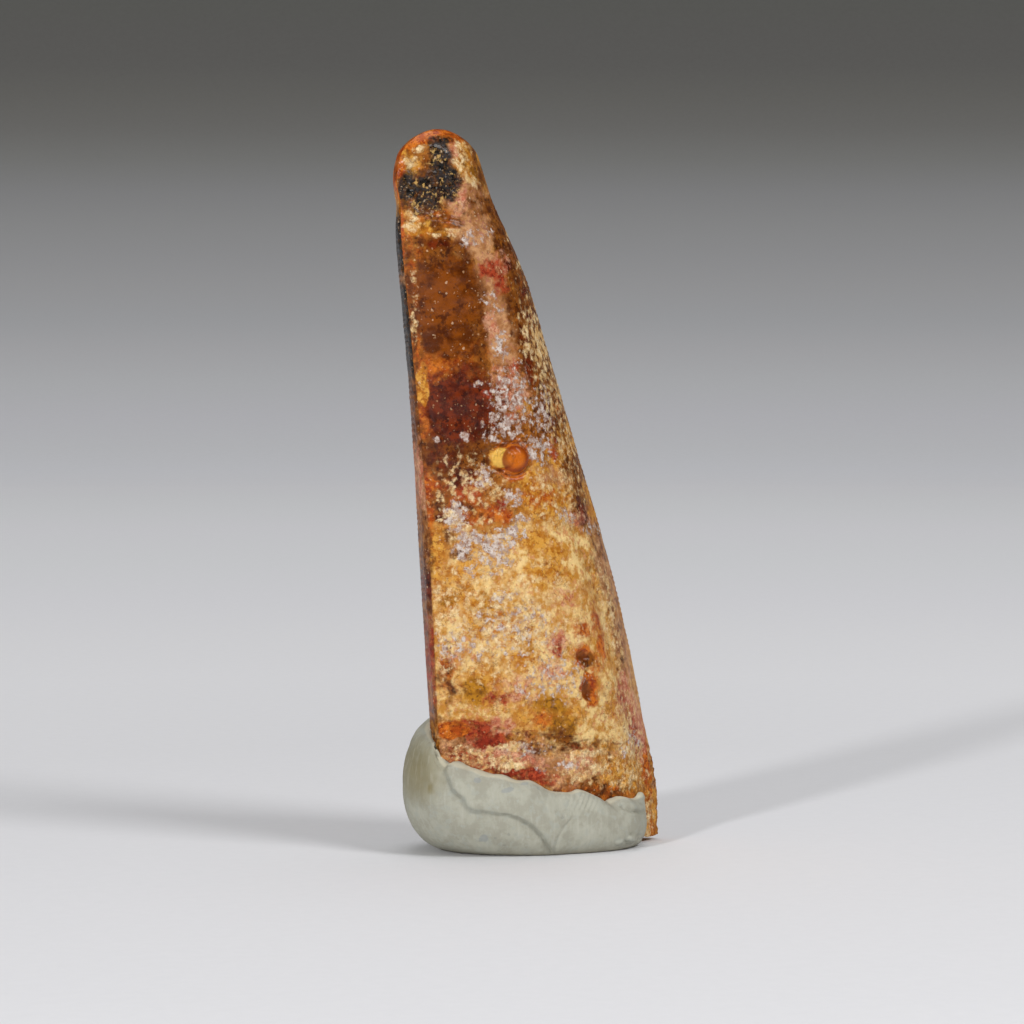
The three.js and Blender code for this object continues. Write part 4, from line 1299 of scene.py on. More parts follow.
class Bench:
    """A node tree with short ways to add and join nodes. A source is a node's output or a plain value."""

    def __init__(self, tree: bpy.types.NodeTree) -> None:
        """Keeps the tree."""
        self.tree = tree

    def feed(self, socket: Socket, source: object) -> None:
        """Joins a source to an input.

        Args:
            socket: the input.
            source: a node's output, or the value to set the input to.
        """
        if isinstance(source, Socket):
            self.tree.links.new(source, socket)
        else:
            socket.default_value = source

    def add(self, kind: str, sources: dict, **settings: object) -> bpy.types.Node:
        """Adds a node and feeds it.

        Args:
            kind: Blender's name of the node type.
            sources: a source for each input by its name or number.
            settings: properties of the node.

        Returns:
            The node.
        """
        node = self.tree.nodes.new(kind)
        for name, value in settings.items():
            setattr(node, name, value)
        for name, source in sources.items():
            self.feed(node.inputs[name], source)
        return node

    def math(self, operation: str, first: object, second: object = 0.0, clamp: bool = False) -> Socket:
        """Output of a math node on one or two sources."""
        sources = {0: first, 1: second}
        return self.add("ShaderNodeMath", sources, operation=operation, use_clamp=clamp).outputs[0]

    def times(self, first: object, second: object) -> Socket:
        """Product of two sources."""
        return self.math("MULTIPLY", first, second)

    def plus(self, first: object, second: object, clamp: bool = False) -> Socket:
        """Sum of two sources."""
        return self.math("ADD", first, second, clamp)

    def minus(self, first: object, second: object, clamp: bool = False) -> Socket:
        """Difference of two sources."""
        return self.math("SUBTRACT", first, second, clamp)

    def over(self, first: object, second: object) -> Socket:
        """Quotient of two sources."""
        return self.math("DIVIDE", first, second)

    def vector(self, operation: str, first: object, second: object) -> Socket:
        """Output of a vector math node on two sources."""
        return self.add("ShaderNodeVectorMath", {0: first, 1: second}, operation=operation).outputs[0]

    def mix(self, share: object, first: object, second: object, blend: str = "MIX") -> Socket:
        """Colour between two colours, the share being how much of the second is taken."""
        sources = {"Factor": share, 6: first, 7: second}
        return self.add("ShaderNodeMix", sources, data_type="RGBA", blend_type=blend).outputs[2]

    def blend(self, share: object, first: object, second: object) -> Socket:
        """Number between two numbers, the share being how much of the second is taken."""
        return self.add("ShaderNodeMix", {"Factor": share, 2: first, 3: second}, data_type="FLOAT").outputs[0]

    def wash(self, colour: object, cover: object, strength: float, shade: tuple) -> Socket:
        """Lays a shade of screen values over a colour, this strong where its cover is full."""
        return self.mix(self.times(cover, strength), colour, tint(*shade))

    def noise(self, place: object, scale: object, detail: float, rough: float) -> Socket:
        """Cloudy noise between 0 and 1 at places."""
        sources = {"Vector": place, "Scale": scale, "Detail": detail, "Roughness": rough}
        return self.add("ShaderNodeTexNoise", sources).outputs["Fac"]

    def spread(self, value: object, low: float, high: float) -> Socket:
        """Stretches the range from low to high to 0 to 1, eased and cut off."""
        sources = {"Value": value, "From Min": low, "From Max": high}
        return self.add("ShaderNodeMapRange", sources, interpolation_type="SMOOTHSTEP").outputs["Result"]

    def mask(self, name: str) -> Socket:
        """Output of a mask that is stored on the mesh."""
        return self.add("ShaderNodeAttribute", {}, attribute_name=name).outputs["Fac"]

    def place(self, group: bpy.types.NodeTree, **values: object) -> Socket:
        """Places a node group and feeds its named inputs."""
        return self.add("ShaderNodeGroup", values, node_tree=group).outputs[0]

    def bump(self, height: object, strength: float, distance: float) -> Socket:
        """Normal of a bumpy surface; the distance is the length in mm that a height of 1 stands for."""
        sources = {"Strength": strength, "Distance": distance * MM, "Height": height}
        return self.add("ShaderNodeBump", sources).outputs[0]


class Effects:
    """Shader groups that the finishes place with values of their own."""

    def __init__(self) -> None:
        """Builds the groups."""
        self.ragged = self._ragged()
        self.tones = self._tones()
        self.veins = self._veins()
        self.specks = self._specks()
        self.grain = self._grain()

    def _group(self, name: str, numbers: dict, colours: tuple, output: tuple) -> tuple:
        """Empty group with a place as its first input, and other named inputs.

        Args:
            name: name of the group.
            numbers: usual value of each number that it takes, by name.
            colours: names of the colours that it takes.
            output: name and kind of its output.

        Returns:
            The group's bench, its inputs by name and its output node's input.
        """
        tree = bpy.data.node_groups.new(name, "ShaderNodeTree")
        tree.interface.new_socket("Vector", in_out="INPUT", socket_type="NodeSocketVector")
        for label, usual in numbers.items():
            socket = tree.interface.new_socket(label, in_out="INPUT", socket_type="NodeSocketFloat")
            socket.default_value = usual
        for label in colours:
            tree.interface.new_socket(label, in_out="INPUT", socket_type="NodeSocketColor")
        tree.interface.new_socket(output[0], in_out="OUTPUT", socket_type=output[1])
        bench = Bench(tree)
        return bench, bench.add("NodeGroupInput", {}).outputs, bench.add("NodeGroupOutput", {}).inputs[0]

    def _ragged(self) -> bpy.types.NodeTree:
        """Gives a smooth cover a ragged edge and holes.

        Returns:
            The group.
        """
        bench, given, out = self._group("Ragged edge", {
            "Cover": 0.0, "Scale": 1.0, "Raggedness": 0.5, "Softness": 0.2, "Seed": 0.0},
            (), ("Mask", "NodeSocketFloat"))
        place = bench.vector("ADD", given["Vector"], given["Seed"])
        cloud = bench.noise(place, given["Scale"], 6, 0.6)
        swing = bench.times(bench.minus(cloud, 0.5), given["Raggedness"])
        level = bench.minus(bench.plus(given["Cover"], swing), 0.5)
        sharp = bench.plus(bench.over(level, given["Softness"]), 0.5, clamp=True)
        some = bench.spread(given["Cover"], 0.02, 0.2)
        bench.feed(out, bench.times(bench.spread(sharp, 0, 1), some))
        return bench.tree

    def _tones(self) -> bpy.types.NodeTree:
        """Cloudy mixture of a light, a dark and an accent colour.

        Returns:
            The group.
        """
        bench, given, out = self._group("Three tones", {"Scale": 1.0, "Seed": 0.0},
                                        ("Light", "Dark", "Accent"), ("Color", "NodeSocketColor"))
        place = bench.vector("ADD", given["Vector"], given["Seed"])
        cloud = bench.noise(place, given["Scale"], 7, 0.64)
        fine = bench.noise(place, bench.times(given["Scale"], 2.2), 5, 0.62)
        colour = bench.mix(bench.spread(cloud, 0.42, 0.58), given["Light"], given["Dark"])
        touched = bench.times(bench.spread(fine, 0.53, 0.62), 0.85)
        bench.feed(out, bench.mix(touched, colour, given["Accent"]))
        return bench.tree

    def _veins(self) -> bpy.types.NodeTree:
        """Thin wandering lines.

        Returns:
            The group.
        """
        bench, given, out = self._group("Veins", {"Scale": 1.0, "Width": 0.02, "Seed": 0.0},
                                        (), ("Mask", "NodeSocketFloat"))
        place = bench.vector("ADD", given["Vector"], given["Seed"])
        cloud = bench.noise(place, given["Scale"], 6, 0.6)
        away = bench.math("ABSOLUTE", bench.minus(cloud, 0.5))
        line = bench.minus(1.0, bench.over(away, given["Width"]), clamp=True)
        some = bench.spread(bench.noise(place, bench.times(given["Scale"], 0.6), 3, 0.55), 0.45, 0.6)
        bench.feed(out, bench.times(line, some))
        return bench.tree

    def _specks(self) -> bpy.types.NodeTree:
        """Scattered specks of uneven size and shape.

        Returns:
            The group.
        """
        bench, given, out = self._group("Specks", {"Scale": 2.0, "Amount": 0.2, "Size": 0.3},
                                        (), ("Mask", "NodeSocketFloat"))
        warp = bench.add("ShaderNodeTexNoise", {"Vector": given["Vector"], "Scale": 3.0})
        push = bench.vector("MULTIPLY", warp.outputs["Color"], (0.35, 0.35, 0.35))
        pushed = bench.vector("ADD", push, given["Vector"])
        cells = bench.add("ShaderNodeTexVoronoi", {"Vector": pushed, "Scale": given["Scale"]})
        split = bench.add("ShaderNodeSeparateColor", {0: cells.outputs["Color"]})
        chosen = bench.math("LESS_THAN", split.outputs[0], given["Amount"])
        width = bench.times(given["Size"], bench.plus(split.outputs[1], 0.35))
        near = bench.minus(1.0, bench.over(cells.outputs["Distance"], width))
        bench.feed(out, bench.times(chosen, bench.spread(near, 0.0, 0.35)))
        return bench.tree

    def _grain(self) -> bpy.types.NodeTree:
        """Height of a fine-grained surface with small pits.

        Returns:
            The group.
        """
        bench, given, out = self._group("Grain", {"Scale": 3.0, "Pits": 0.3},
                                        (), ("Height", "NodeSocketFloat"))
        cloud = bench.noise(given["Vector"], given["Scale"], 8, 0.7)
        size = bench.times(given["Scale"], 0.8)
        cells = bench.add("ShaderNodeTexVoronoi", {"Vector": given["Vector"], "Scale": size})
        holes = bench.times(bench.spread(cells.outputs["Distance"], 0.32, 0.05), given["Pits"])
        bench.feed(out, bench.minus(cloud, holes))
        return bench.tree


class Coating(Bench):
    """Bench of one material, with the shared groups and the places on the object in millimetres."""

    def __init__(self, name: str, effects: Effects) -> None:
        """Makes the empty material.

        Args:
            name: its name.
            effects: the shared shader groups.
        """
        self.material = bpy.data.materials.new(name)
        self.material.use_nodes = True
        super().__init__(self.material.node_tree)
        self.effects = effects
        sources = {0: self.add("ShaderNodeTexCoord", {}).outputs["Object"], "Scale": 1 / MM}
        self.here = self.add("ShaderNodeVectorMath", sources, operation="SCALE").outputs[0]

    def cloud(self, scale: float, detail: float, rough: float) -> Socket:
        """Cloudy noise on the object."""
        return self.noise(self.here, scale, detail, rough)

    def lay(self, group: bpy.types.NodeTree, **values: object) -> Socket:
        """Places a shared group on the object and feeds its other inputs."""
        return self.place(group, Vector=self.here, **values)

    def finish(self, fixed: dict, **sources: object) -> bpy.types.Material:
        """Feeds the main shader.

        Args:
            fixed: plain value of each input that is the same all over, by its name.
            sources: a source for each other input; an underscore in a name stands for a space.

        Returns:
            The material.
        """
        inputs = self.tree.nodes["Principled BSDF"].inputs
        for name, source in sources.items():
            self.feed(inputs[name.replace("_", " ")], source)
        for name, value in fixed.items():
            inputs[name].default_value = value
        return self.material


@dataclass(frozen=True)
class Tone:
    """How one stain looks: three colours, scale of their clouds, gloss, edge and thickness."""

    light: tuple
    dark: tuple
    accent: tuple
    scale: float = 1.2
    rough: float = 0.42
    coat: float = 0.2
    ragged: float = 1.5
    edge_scale: float = 1.5
    soft: float = 0.4
    raised: float = 0.0

    def paint(self, bench: Coating, seed: float) -> Socket:
        """Adds the tone's cloudy colour to a material; the seed moves the clouds."""
        return bench.lay(bench.effects.tones, Scale=self.scale, Light=tint(*self.light),
                         Dark=tint(*self.dark), Accent=tint(*self.accent), Seed=seed)


TONES = {
    Stain.CREAM: Tone((244, 208, 140), (200, 138, 54), (214, 148, 96), 0.8, 0.42, 0.2, 2.2, 0.9, 0.9),
    Stain.GOLD: Tone((222, 160, 66), (184, 112, 26), (156, 84, 16), 1.0, 0.36, 0.35, 2.2, 1.1, 0.7),
    Stain.OLIVE: Tone((190, 128, 28), (152, 96, 14), (112, 68, 12), 1.0, 0.4, 0.3, 2.0, 1.0, 0.8),
    Stain.ORANGE: Tone((214, 118, 34), (170, 74, 14), (134, 42, 8), 1.0, 0.3, 0.5, 2.2, 1.1, 0.7),
    Stain.TAN: Tone((206, 152, 104), (170, 114, 68), (178, 116, 92), 0.9, 0.45, 0.2, 2.0, 0.9, 0.9),
    Stain.AMBER: Tone((132, 66, 10), (90, 40, 4), (72, 28, 2), 0.4, 0.2, 0.9, 1.2, 0.8, 0.6),
    Stain.BROWN: Tone((136, 76, 20), (94, 44, 8), (58, 24, 6), 0.9, 0.3, 0.5, 2.4, 1.1, 0.8),
    Stain.MAROON: Tone((116, 42, 8), (76, 22, 4), (50, 12, 2), 0.7, 0.24, 0.7, 2.0, 0.9, 0.8),
    Stain.PINK: Tone((222, 164, 130), (196, 114, 84), (160, 70, 48), 1.2, 0.5, 0.1, 2.4, 1.3, 0.8),
    Stain.CRIMSON: Tone((178, 72, 40), (138, 42, 20), (104, 26, 14), 1.2, 0.38, 0.2, 2.4, 1.2, 0.8),
    Stain.WHITE: Tone((222, 208, 198), (176, 150, 138), (148, 106, 80), 1.4, 0.62, 0.0, 3.2, 1.7, 0.5, 0.4),
    Stain.PALE: Tone((244, 216, 166), (220, 178, 116), (196, 136, 72), 1.0, 0.5, 0.1, 2.8, 1.4, 0.6, 0.2),
    Stain.BLACK: Tone((50, 44, 42), (16, 13, 11), (84, 56, 24), 1.2, 0.26, 0.5, 1.8, 1.3, 0.9),
}


@dataclass(frozen=True)
class FossilFinish:
    """Mineralised enamel and dentine: worn, stained, glossy where the enamel is whole, with painted shade in
    its sunken places.
    """

    ground: Tone = Tone((224, 170, 92), (188, 120, 44), (150, 80, 24), 0.8, 0.4, 0.25)
    upper: Tone = Tone((186, 116, 42), (140, 76, 18), (92, 44, 10), 0.9, 0.34, 0.4)
    upper_from: float = 29.0
    upper_full: float = 40.0
    # Grains of the bare dentine: cover, scale, screen values and seed.
    grains: tuple = ((0.5, 0.8, (172, 86, 50), 11.0), (0.48, 1.3, (216, 172, 122), 17.0),
                     (0.46, 1.1, (184, 122, 40), 23.0), (0.42, 1.6, (104, 42, 20), 29.0))
    # Colours of the small bead, pale yellow and partly a painted highlight on its lit side, the big bead's
    # rim and the big bead: mask, low and high cover, screen values, strength.
    beads: tuple = (("bud_and_highlight", 0.02, 0.2, (240, 190, 88), 0.9), ("bead", 0.02, 0.14, (140, 56, 8), 0.9),
                    ("bead", 0.2, 0.6, (212, 112, 26), 0.8))
    recess_brown_and_shade: tuple = (116, 54, 10)
    step_shade: tuple = (112, 54, 20)
    vein_shade: tuple = (112, 58, 16)
    dark_speck: tuple = (140, 76, 24)
    pale_speck: tuple = (232, 196, 156)
    fine_speck: tuple = (226, 180, 130)
    glint_shade: tuple = (206, 164, 96)
    dentine_rough: float = 0.62
    coat_rough: float = 0.16
    specular: float = 0.12

    def make(self, effects: Effects) -> bpy.types.Material:
        """Builds the material.

        Args:
            effects: the shared shader groups.

        Returns:
            The material.
        """
        bench = Coating("fossil_enamel", effects)
        dentine = bench.mask("dentine")
        colour, rough, coat, height = self._stains(bench, dentine)
        colour, rough, speck_height = self._specks(bench, colour, rough)
        colour = self._features(bench, colour, dentine)
        vein = bench.lay(bench.effects.veins, Scale=0.8, Width=0.014, Seed=4.0)
        colour = bench.wash(colour, vein, 0.7, self.vein_shade)
        swing = bench.blend(dentine, 0.6, 1.8)
        grit = bench.times(bench.minus(bench.cloud(3.0, 6, 0.7), 0.5), swing)
        colour = bench.mix(1.0, colour, bench.plus(grit, 0.85), "MULTIPLY")
        rough = bench.blend(dentine, rough, self.dentine_rough)
        smear = bench.times(bench.minus(bench.cloud(0.8, 5, 0.6), 0.5), 0.3)
        fine = bench.lay(bench.effects.grain, Scale=3.2, Pits=0.5)
        height = bench.plus(height, bench.times(fine, bench.blend(dentine, 0.2, 1.2)))
        height = bench.plus(height, bench.times(bench.cloud(1.6, 4, 0.5), 0.25))
        height = bench.plus(bench.minus(height, bench.times(vein, 0.3)), speck_height)
        return bench.finish({"Coat Roughness": self.coat_rough, "Specular IOR Level": self.specular},
                            Base_Color=colour, Roughness=bench.plus(rough, smear, clamp=True),
                            Coat_Weight=bench.times(coat, bench.blend(dentine, 0.3, 0.0)),
                            Normal=bench.bump(height, 0.6, 0.12))

    def _stains(self, bench: Coating, dentine: object) -> tuple:
        """Ground colours, the grains of the bare dentine and all stains over them.

        Args:
            bench: the material's bench.
            dentine: cover of the bare dentine.

        Returns:
            The colour, the roughness, the coat and the height.
        """
        split = bench.add("ShaderNodeSeparateXYZ", {0: bench.here})
        high = bench.spread(split.outputs[2], self.upper_from, self.upper_full)
        colour = bench.mix(high, self.ground.paint(bench, 0.0),
                           self.upper.paint(bench, 31.0))
        for cover, scale, shade, seed in self.grains:
            mask = bench.lay(bench.effects.ragged, Cover=bench.times(dentine, cover), Scale=scale,
                               Raggedness=2.8, Softness=0.5, Seed=seed)
            colour = bench.wash(colour, mask, 0.9, shade)
        rough, coat, height = self.ground.rough, self.ground.coat, 0.0
        for number, (stain, tone) in enumerate(TONES.items()):
            edge = bench.lay(bench.effects.ragged, Cover=bench.mask("stain_" + stain.value),
                               Scale=tone.edge_scale, Raggedness=tone.ragged, Softness=tone.soft,
                               Seed=5.3 * number)
            colour = bench.mix(edge, colour, tone.paint(bench, 7.7 * number + 2))
            rough = bench.blend(edge, rough, tone.rough)
            coat = bench.blend(edge, coat, tone.coat)
            if tone.raised:
                height = bench.plus(height, bench.times(edge, tone.raised))
        return colour, rough, coat, height

    def _specks(self, bench: Coating, colour: object, rough: object) -> tuple:
        """Pale and dark specks over the whole surface, and glints in the chip.

        Args:
            bench: the material's bench.
            colour: colour so far.
            rough: roughness so far.

        Returns:
            The colour, the roughness and the height of the specks.
        """
        patchy = bench.times(bench.spread(bench.cloud(0.35, 3, 0.5), 0.4, 0.65), 0.4)
        pale = bench.lay(bench.effects.specks, Scale=1.7, Amount=patchy, Size=0.26)
        fine = bench.lay(bench.effects.specks, Scale=3.2, Amount=0.22, Size=0.34)
        dark = bench.lay(bench.effects.specks, Scale=2.4, Amount=0.3, Size=0.36)
        colour = bench.wash(colour, dark, 0.14, self.dark_speck)
        colour = bench.wash(colour, pale, 0.5, self.pale_speck)
        colour = bench.wash(colour, fine, 0.35, self.fine_speck)
        chip = bench.times(bench.mask("chip"), bench.spread(bench.cloud(0.45, 3, 0.5), 0.36, 0.56))
        glint = bench.lay(bench.effects.ragged, Cover=bench.times(chip, 0.23), Scale=2.2,
                            Raggedness=3.0, Softness=0.4, Seed=41.0)
        height = bench.minus(bench.times(bench.plus(pale, fine), 0.35), bench.times(dark, 0.35))
        return bench.wash(colour, glint, 0.9, self.glint_shade), bench.blend(pale, rough, 0.6), height

    def _features(self, bench: Coating, colour: object, dentine: object) -> Socket:
        """Colours of the small pale yellow bead, partly a painted highlight, of the big bead, of the sunken
        places with painted shade over their own brown, and of the enamel's lower edge.

        Args:
            bench: the material's bench.
            colour: colour so far.
            dentine: cover of the bare dentine.

        Returns:
            The output with the new colour.
        """
        blur = bench.times(bench.minus(bench.cloud(1.6, 5, 0.6), 0.5), 0.35)
        bead = bench.mask("bead")
        covers = {"bud_and_highlight": bench.mask("bud_and_highlight"), "bead": bench.plus(bead, bench.times(blur, bead))}
        for name, low, high, shade, strength in self.beads:
            colour = bench.wash(colour, bench.spread(covers[name], low, high), strength, shade)
        # Sunken places darken with their depth: painted shade, over the pits' and cracks' own brown.
        colour = bench.wash(colour, bench.spread(bench.mask("hollow"), 0.08, 0.35), 0.7, self.recess_brown_and_shade)
        below = bench.minus(1.0, bench.spread(dentine, 0.55, 0.95))
        step = bench.times(bench.spread(dentine, 0.1, 0.45), below)
        step = bench.times(step, bench.spread(bench.cloud(0.9, 5, 0.6), 0.4, 0.6))
        return bench.wash(colour, step, 0.6, self.step_shade)


@dataclass(frozen=True)
class ClayFinish:
    """Smooth matt grey-green modelling clay, a little soiled, with painted shade along its fold and a painted
    highlight along its top edge. All shades are screen values.
    """

    body: Tone = Tone((169, 168, 153), (157, 155, 140), (163, 164, 152), 0.5)
    streak_shade: tuple = (148, 154, 142)
    ochre_shade: tuple = (122, 110, 68)
    brushed_light: tuple = (192, 190, 178)
    brushed_dark: tuple = (148, 148, 134)
    smudge_shade: tuple = (128, 138, 146)
    speck_shade: tuple = (130, 132, 124)
    crease_painted_shade: tuple = (118, 122, 112)
    rim_painted_highlight: tuple = (206, 198, 172)
    foot_shade: tuple = (150, 138, 112)
    # The brushed streaks are drawn out upwards.
    brushing: tuple = (2.6, 2.6, 0.3)
    specular: float = 0.4

    def make(self, effects: Effects) -> bpy.types.Material:
        """Builds the material.

        Args:
            effects: the shared shader groups.

        Returns:
            The material.
        """
        bench = Coating("modelling_clay", effects)
        colour = self.body.paint(bench, 0.0)
        streak = bench.spread(bench.cloud(0.9, 6, 0.6), 0.56, 0.75)
        colour = bench.wash(colour, streak, 0.25, self.streak_shade)
        colour = bench.wash(colour, bench.mask("ochre"), 0.85, self.ochre_shade)
        brushed = bench.noise(bench.vector("MULTIPLY", bench.here, self.brushing), 1.0, 5, 0.6)
        colour = bench.wash(colour, bench.spread(brushed, 0.5, 0.7), 0.22, self.brushed_light)
        colour = bench.wash(colour, bench.spread(brushed, 0.5, 0.3), 0.2, self.brushed_dark)
        smudge = bench.lay(bench.effects.ragged, Cover=bench.mask("smudge"), Scale=2.0,
                             Raggedness=0.8, Softness=0.4)
        colour = bench.wash(colour, smudge, 0.4, self.smudge_shade)
        speck = bench.lay(bench.effects.specks, Scale=0.9, Amount=0.12, Size=0.16)
        colour = bench.wash(colour, speck, 0.45, self.speck_shade)
        # Painted shade along the fold.
        colour = bench.wash(colour, bench.mask("crease"), 0.3, self.crease_painted_shade)
        # Painted highlight along the top edge.
        colour = bench.wash(colour, bench.spread(bench.mask("rim"), 0.5, 1.0), 0.5, self.rim_painted_highlight)
        colour = bench.wash(colour, bench.mask("foot"), 0.35, self.foot_shade)
        fine = bench.lay(bench.effects.grain, Scale=4.0, Pits=0.15)
        soft = bench.cloud(1.1, 5, 0.6)
        height = bench.plus(bench.times(fine, 0.35), bench.times(soft, 0.8))
        height = bench.plus(height, bench.times(brushed, 0.9))
        return bench.finish({"Specular IOR Level": self.specular}, Base_Color=colour,
                            Roughness=bench.blend(bench.cloud(0.7, 4, 0.5), 0.6, 0.85),
                            Normal=bench.bump(height, 0.35, 0.1))


@dataclass(frozen=True)
class PaperFinish:
    """Pale backdrop paper whose colour carries painted light and shade: darker up its sweep. A stop is a
    distance in metres and screen values.
    """

    # These colours paint light and shade into the paper: set against the lamps across the floor, and darker
    # up the sweep as painted shade.
    painted_falloff_stops: tuple = (
        (0.0, 227, 227, 230), (0.1, 228, 228, 231), (0.19, 236, 236, 239), (0.258, 238, 238, 241),
        (0.343, 239, 239, 243), (0.452, 241, 242, 245), (0.556, 244, 244, 248), (0.631, 244, 245, 248),
        (0.687, 244, 245, 248), (0.751, 244, 244, 248), (0.805, 234, 235, 240), (0.844, 226, 227, 231),
        (0.887, 218, 218, 223), (0.923, 209, 210, 213), (0.954, 199, 199, 202), (0.982, 187, 188, 191),
        (1.009, 179, 179, 181), (1.033, 170, 170, 172), (1.057, 161, 161, 162), (1.079, 150, 150, 151),
        (1.101, 135, 135, 133), (1.122, 121, 120, 117), (1.143, 112, 111, 107), (1.162, 104, 103, 100),
        (1.181, 102, 101, 98), (1.197, 100, 100, 96), (1.5, 88, 87, 83),
    )
    fibre_shade: tuple = (160, 160, 160)
    rough: float = 0.85
    specular: float = 0.2

    def make(self, effects: Effects) -> bpy.types.Material:
        """Builds the material.

        Args:
            effects: the shared shader groups.

        Returns:
            The material.
        """
        bench = Coating("backdrop_paper", effects)
        reach = self.painted_falloff_stops[-1][0]
        ramp = bench.add("ShaderNodeValToRGB", {0: bench.over(bench.mask("run"), reach)})
        elements = ramp.color_ramp.elements
        while len(elements) < len(self.painted_falloff_stops):
            elements.new(0.5)
        for element, (run, *_) in zip(elements, self.painted_falloff_stops):
            element.position = run / reach
        for element, (_, *shade) in zip(elements, self.painted_falloff_stops):
            element.color = tint(*shade)
        colour = bench.wash(ramp.outputs[0], bench.cloud(0.6, 6, 0.65), 0.1, self.fibre_shade)
        return bench.finish({"Roughness": self.rough, "Specular IOR Level": self.specular}, Base_Color=colour,
                            Normal=bench.bump(bench.cloud(1.5, 5, 0.6), 0.12, 0.1))


def direction(turn: float, rise: float) -> Vector:
    """Unit vector from the specimen towards a place round it.

    Args:
        turn: degrees round from the front, to the right.
        rise: degrees up from the table.

    Returns:
        The vector.
    """
    a, e = math.radians(turn), math.radians(rise)
    return Vector((math.sin(a) * math.cos(e), -math.cos(a) * math.cos(e), math.sin(e)))


@dataclass(frozen=True)
class Lamp:
    """One studio lamp, aimed at a height above the table. Lengths in metres, angles in degrees."""

    name: str
    turn: float
    rise: float
    away: float
    size: float
    watts: float
    aim: float = 0.035
    cone: float = 0.0
    cone_blend: float = 0.7

    def build(self) -> None:
        """Adds the lamp to the scene, as a spot if it has a cone and as a soft disk otherwise."""
        data = bpy.data.lights.new(self.name, "SPOT" if self.cone else "AREA")
        data.energy = self.watts
        if self.cone:
            data.shadow_soft_size = self.size / 2
            data.spot_size, data.spot_blend = math.radians(self.cone), self.cone_blend
        else:
            data.shape, data.size = "DISK", self.size
        lamp = bpy.data.objects.new(self.name, data)
        back = direction(self.turn, self.rise)
        lamp.location = Vector((0, 0, self.aim)) + back * self.away
        lamp.rotation_mode = "QUATERNION"
        lamp.rotation_quaternion = (-back).to_track_quat("-Z", "Y")
        bpy.context.scene.collection.objects.link(lamp)


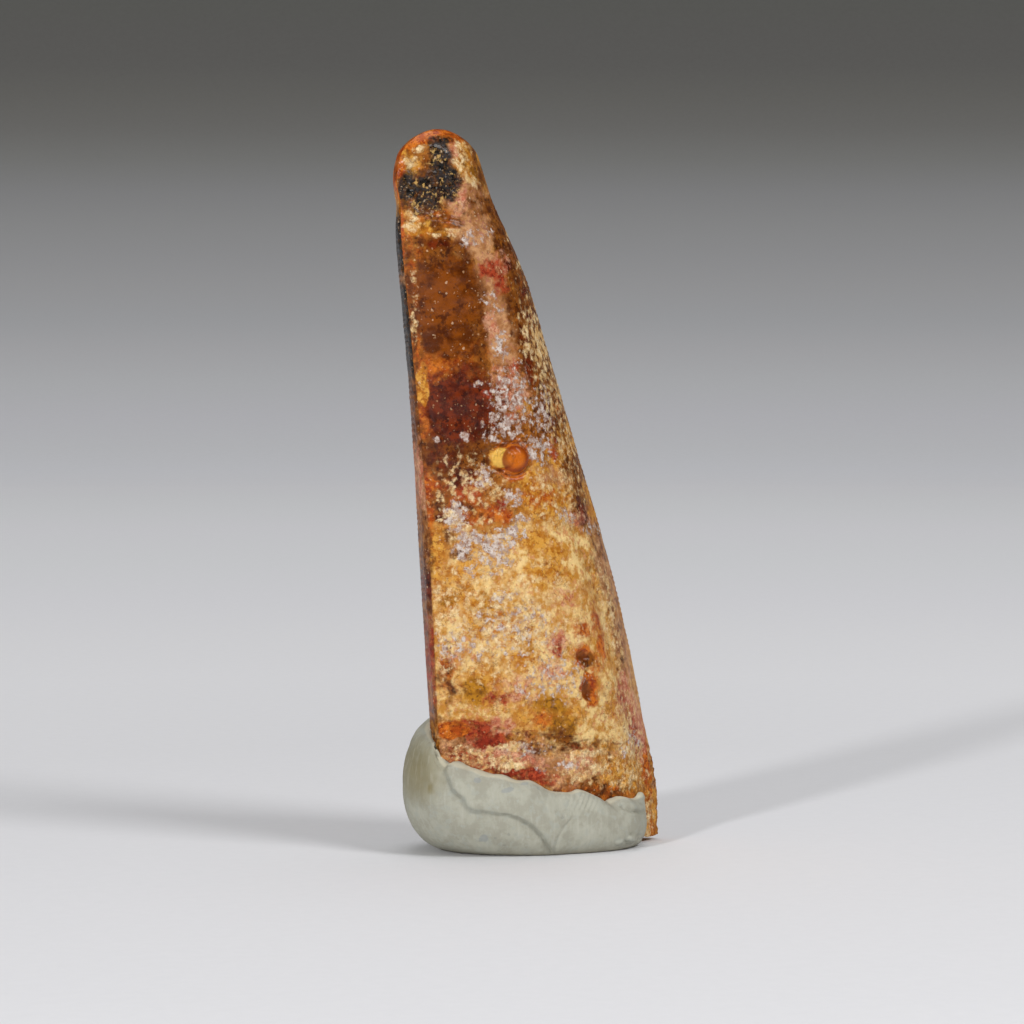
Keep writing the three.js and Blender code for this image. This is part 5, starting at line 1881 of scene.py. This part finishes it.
@dataclass
class Studio:
    """Paper sweep, lights and camera round the specimen. Lengths in metres, angles in degrees."""

    floor_middle: float = 0.004
    floor_reach: float = 0.75
    sweep_radius: float = 0.6
    sweep_rings: int = 60
    sweep_sides: int = 180
    # A large soft overhead lamp, a weak fill from the right and a small low key from the left.
    lamps: tuple = (Lamp("overhead", 152, 76, 1.8, 1.3, 8.9), Lamp("fill", 22, 38, 0.8, 0.3, 3.0),
                    Lamp("key", -56.5, 16.0, 1.1, 0.1, 27.0, 0.04, 90.0))
    surround_shade: tuple = (217, 217, 217)
    surround_strength: float = 0.42
    camera_turn: float = -28.0
    camera_rise: float = 3.2
    camera_angle: float = 13.7
    camera_clip: tuple = (0.01, 20)
    mm_per_pixel: float = 0.104
    foot_pixel: tuple = (547, 847)
    frame_pixels: int = 1024
    sensor: float = 36.0

    def build(self, effects: Effects) -> None:
        """Builds the backdrop, the lights and the camera.

        Args:
            effects: the shared shader groups.
        """
        self._backdrop(effects)
        for lamp in self.lamps:
            lamp.build()
        self._surround()
        self._camera()

    def _backdrop(self, effects: Effects) -> None:
        """Round floor that sweeps up into a wall on all sides.

        Args:
            effects: the shared shader groups.
        """
        runs = [(r, 0.0, r) for r in np.linspace(self.floor_middle, self.floor_reach, self.sweep_rings)]
        for angle in np.linspace(0, math.pi / 2, self.sweep_rings)[1:]:
            runs.append((self.floor_reach + self.sweep_radius * math.sin(angle),
                         self.sweep_radius * (1 - math.cos(angle)),
                         self.floor_reach + self.sweep_radius * angle))
        sides = self.sweep_sides
        turns = np.linspace(0, 2 * np.pi, sides, endpoint=False)
        points = [(r * math.cos(t), r * math.sin(t), z) for r, z, _ in runs for t in turns]
        mesh = bpy.data.meshes.new("backdrop")
        mesh.from_pydata(points, [], ring_quads(len(runs), sides).tolist() + [tuple(range(sides))])
        mesh.polygons.foreach_set("use_smooth", np.ones(len(mesh.polygons), bool))
        backdrop = bpy.data.objects.new("backdrop", mesh)
        bpy.context.scene.collection.objects.link(backdrop)
        write_mask(backdrop, "run", np.repeat([run for _, _, run in runs], sides))
        mesh.materials.append(PaperFinish().make(effects))

    def _surround(self) -> None:
        """Even grey light from all round that isn't mirrored in the gloss."""
        world = bpy.data.worlds.new("surround")
        world.use_nodes = True
        inputs = world.node_tree.nodes["Background"].inputs
        inputs["Color"].default_value = tint(*self.surround_shade)
        inputs["Strength"].default_value = self.surround_strength
        bpy.context.scene.world = world
        world.cycles_visibility.glossy = False

    def _camera(self) -> None:
        """Long lens from the show side, a little above the table."""
        back = direction(self.camera_turn, self.camera_rise)
        a = math.radians(self.camera_turn)
        right = Vector((math.cos(a), math.sin(a), 0))
        up = back.cross(right)
        half = self.frame_pixels / 2
        step = self.mm_per_pixel * MM
        foot = Vector(PLAN_SHIFT) * MM
        target = foot + right * (half - self.foot_pixel[0]) * step + up * (self.foot_pixel[1] - half) * step
        spread = math.tan(math.radians(self.camera_angle / 2))
        data = bpy.data.cameras.new("camera")
        data.sensor_width = self.sensor
        data.lens = self.sensor / 2 / spread
        data.clip_start, data.clip_end = self.camera_clip
        camera = bpy.data.objects.new("camera", data)
        camera.matrix_world = Matrix((
            (right.x, up.x, back.x, 0), (right.y, up.y, back.y, 0), (right.z, up.z, back.z, 0), (0, 0, 0, 1)))
        camera.location = target + back * (half * step / spread)
        bpy.context.scene.collection.objects.link(camera)
        bpy.context.scene.camera = camera


def report(piece: bpy.types.Object) -> None:
    """Logs a piece's name and how many faces it has."""
    LOG.info("%s: %d faces", piece.name, len(piece.data.polygons))


def main() -> None:
    """Builds the studio and the specimen's two pieces."""
    logging.basicConfig(level=logging.INFO, format="%(name)s: %(message)s")
    bpy.context.scene.view_settings.view_transform = "Standard"
    effects = Effects()
    Studio().build(effects)
    form = ToothForm()
    fossil = FossilTooth(form)
    tooth = fossil.build()
    tooth.data.materials.append(FossilFinish().make(effects))
    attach(tooth, "root")
    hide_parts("tooth")
    report(tooth)
    clay = ClayBase(form).build(fossil.surface)
    clay.data.materials.clear()
    clay.data.materials.append(ClayFinish().make(effects))
    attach(clay, "root")
    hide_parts("putty_base")
    report(clay)


if __name__ == "__main__":
    main()
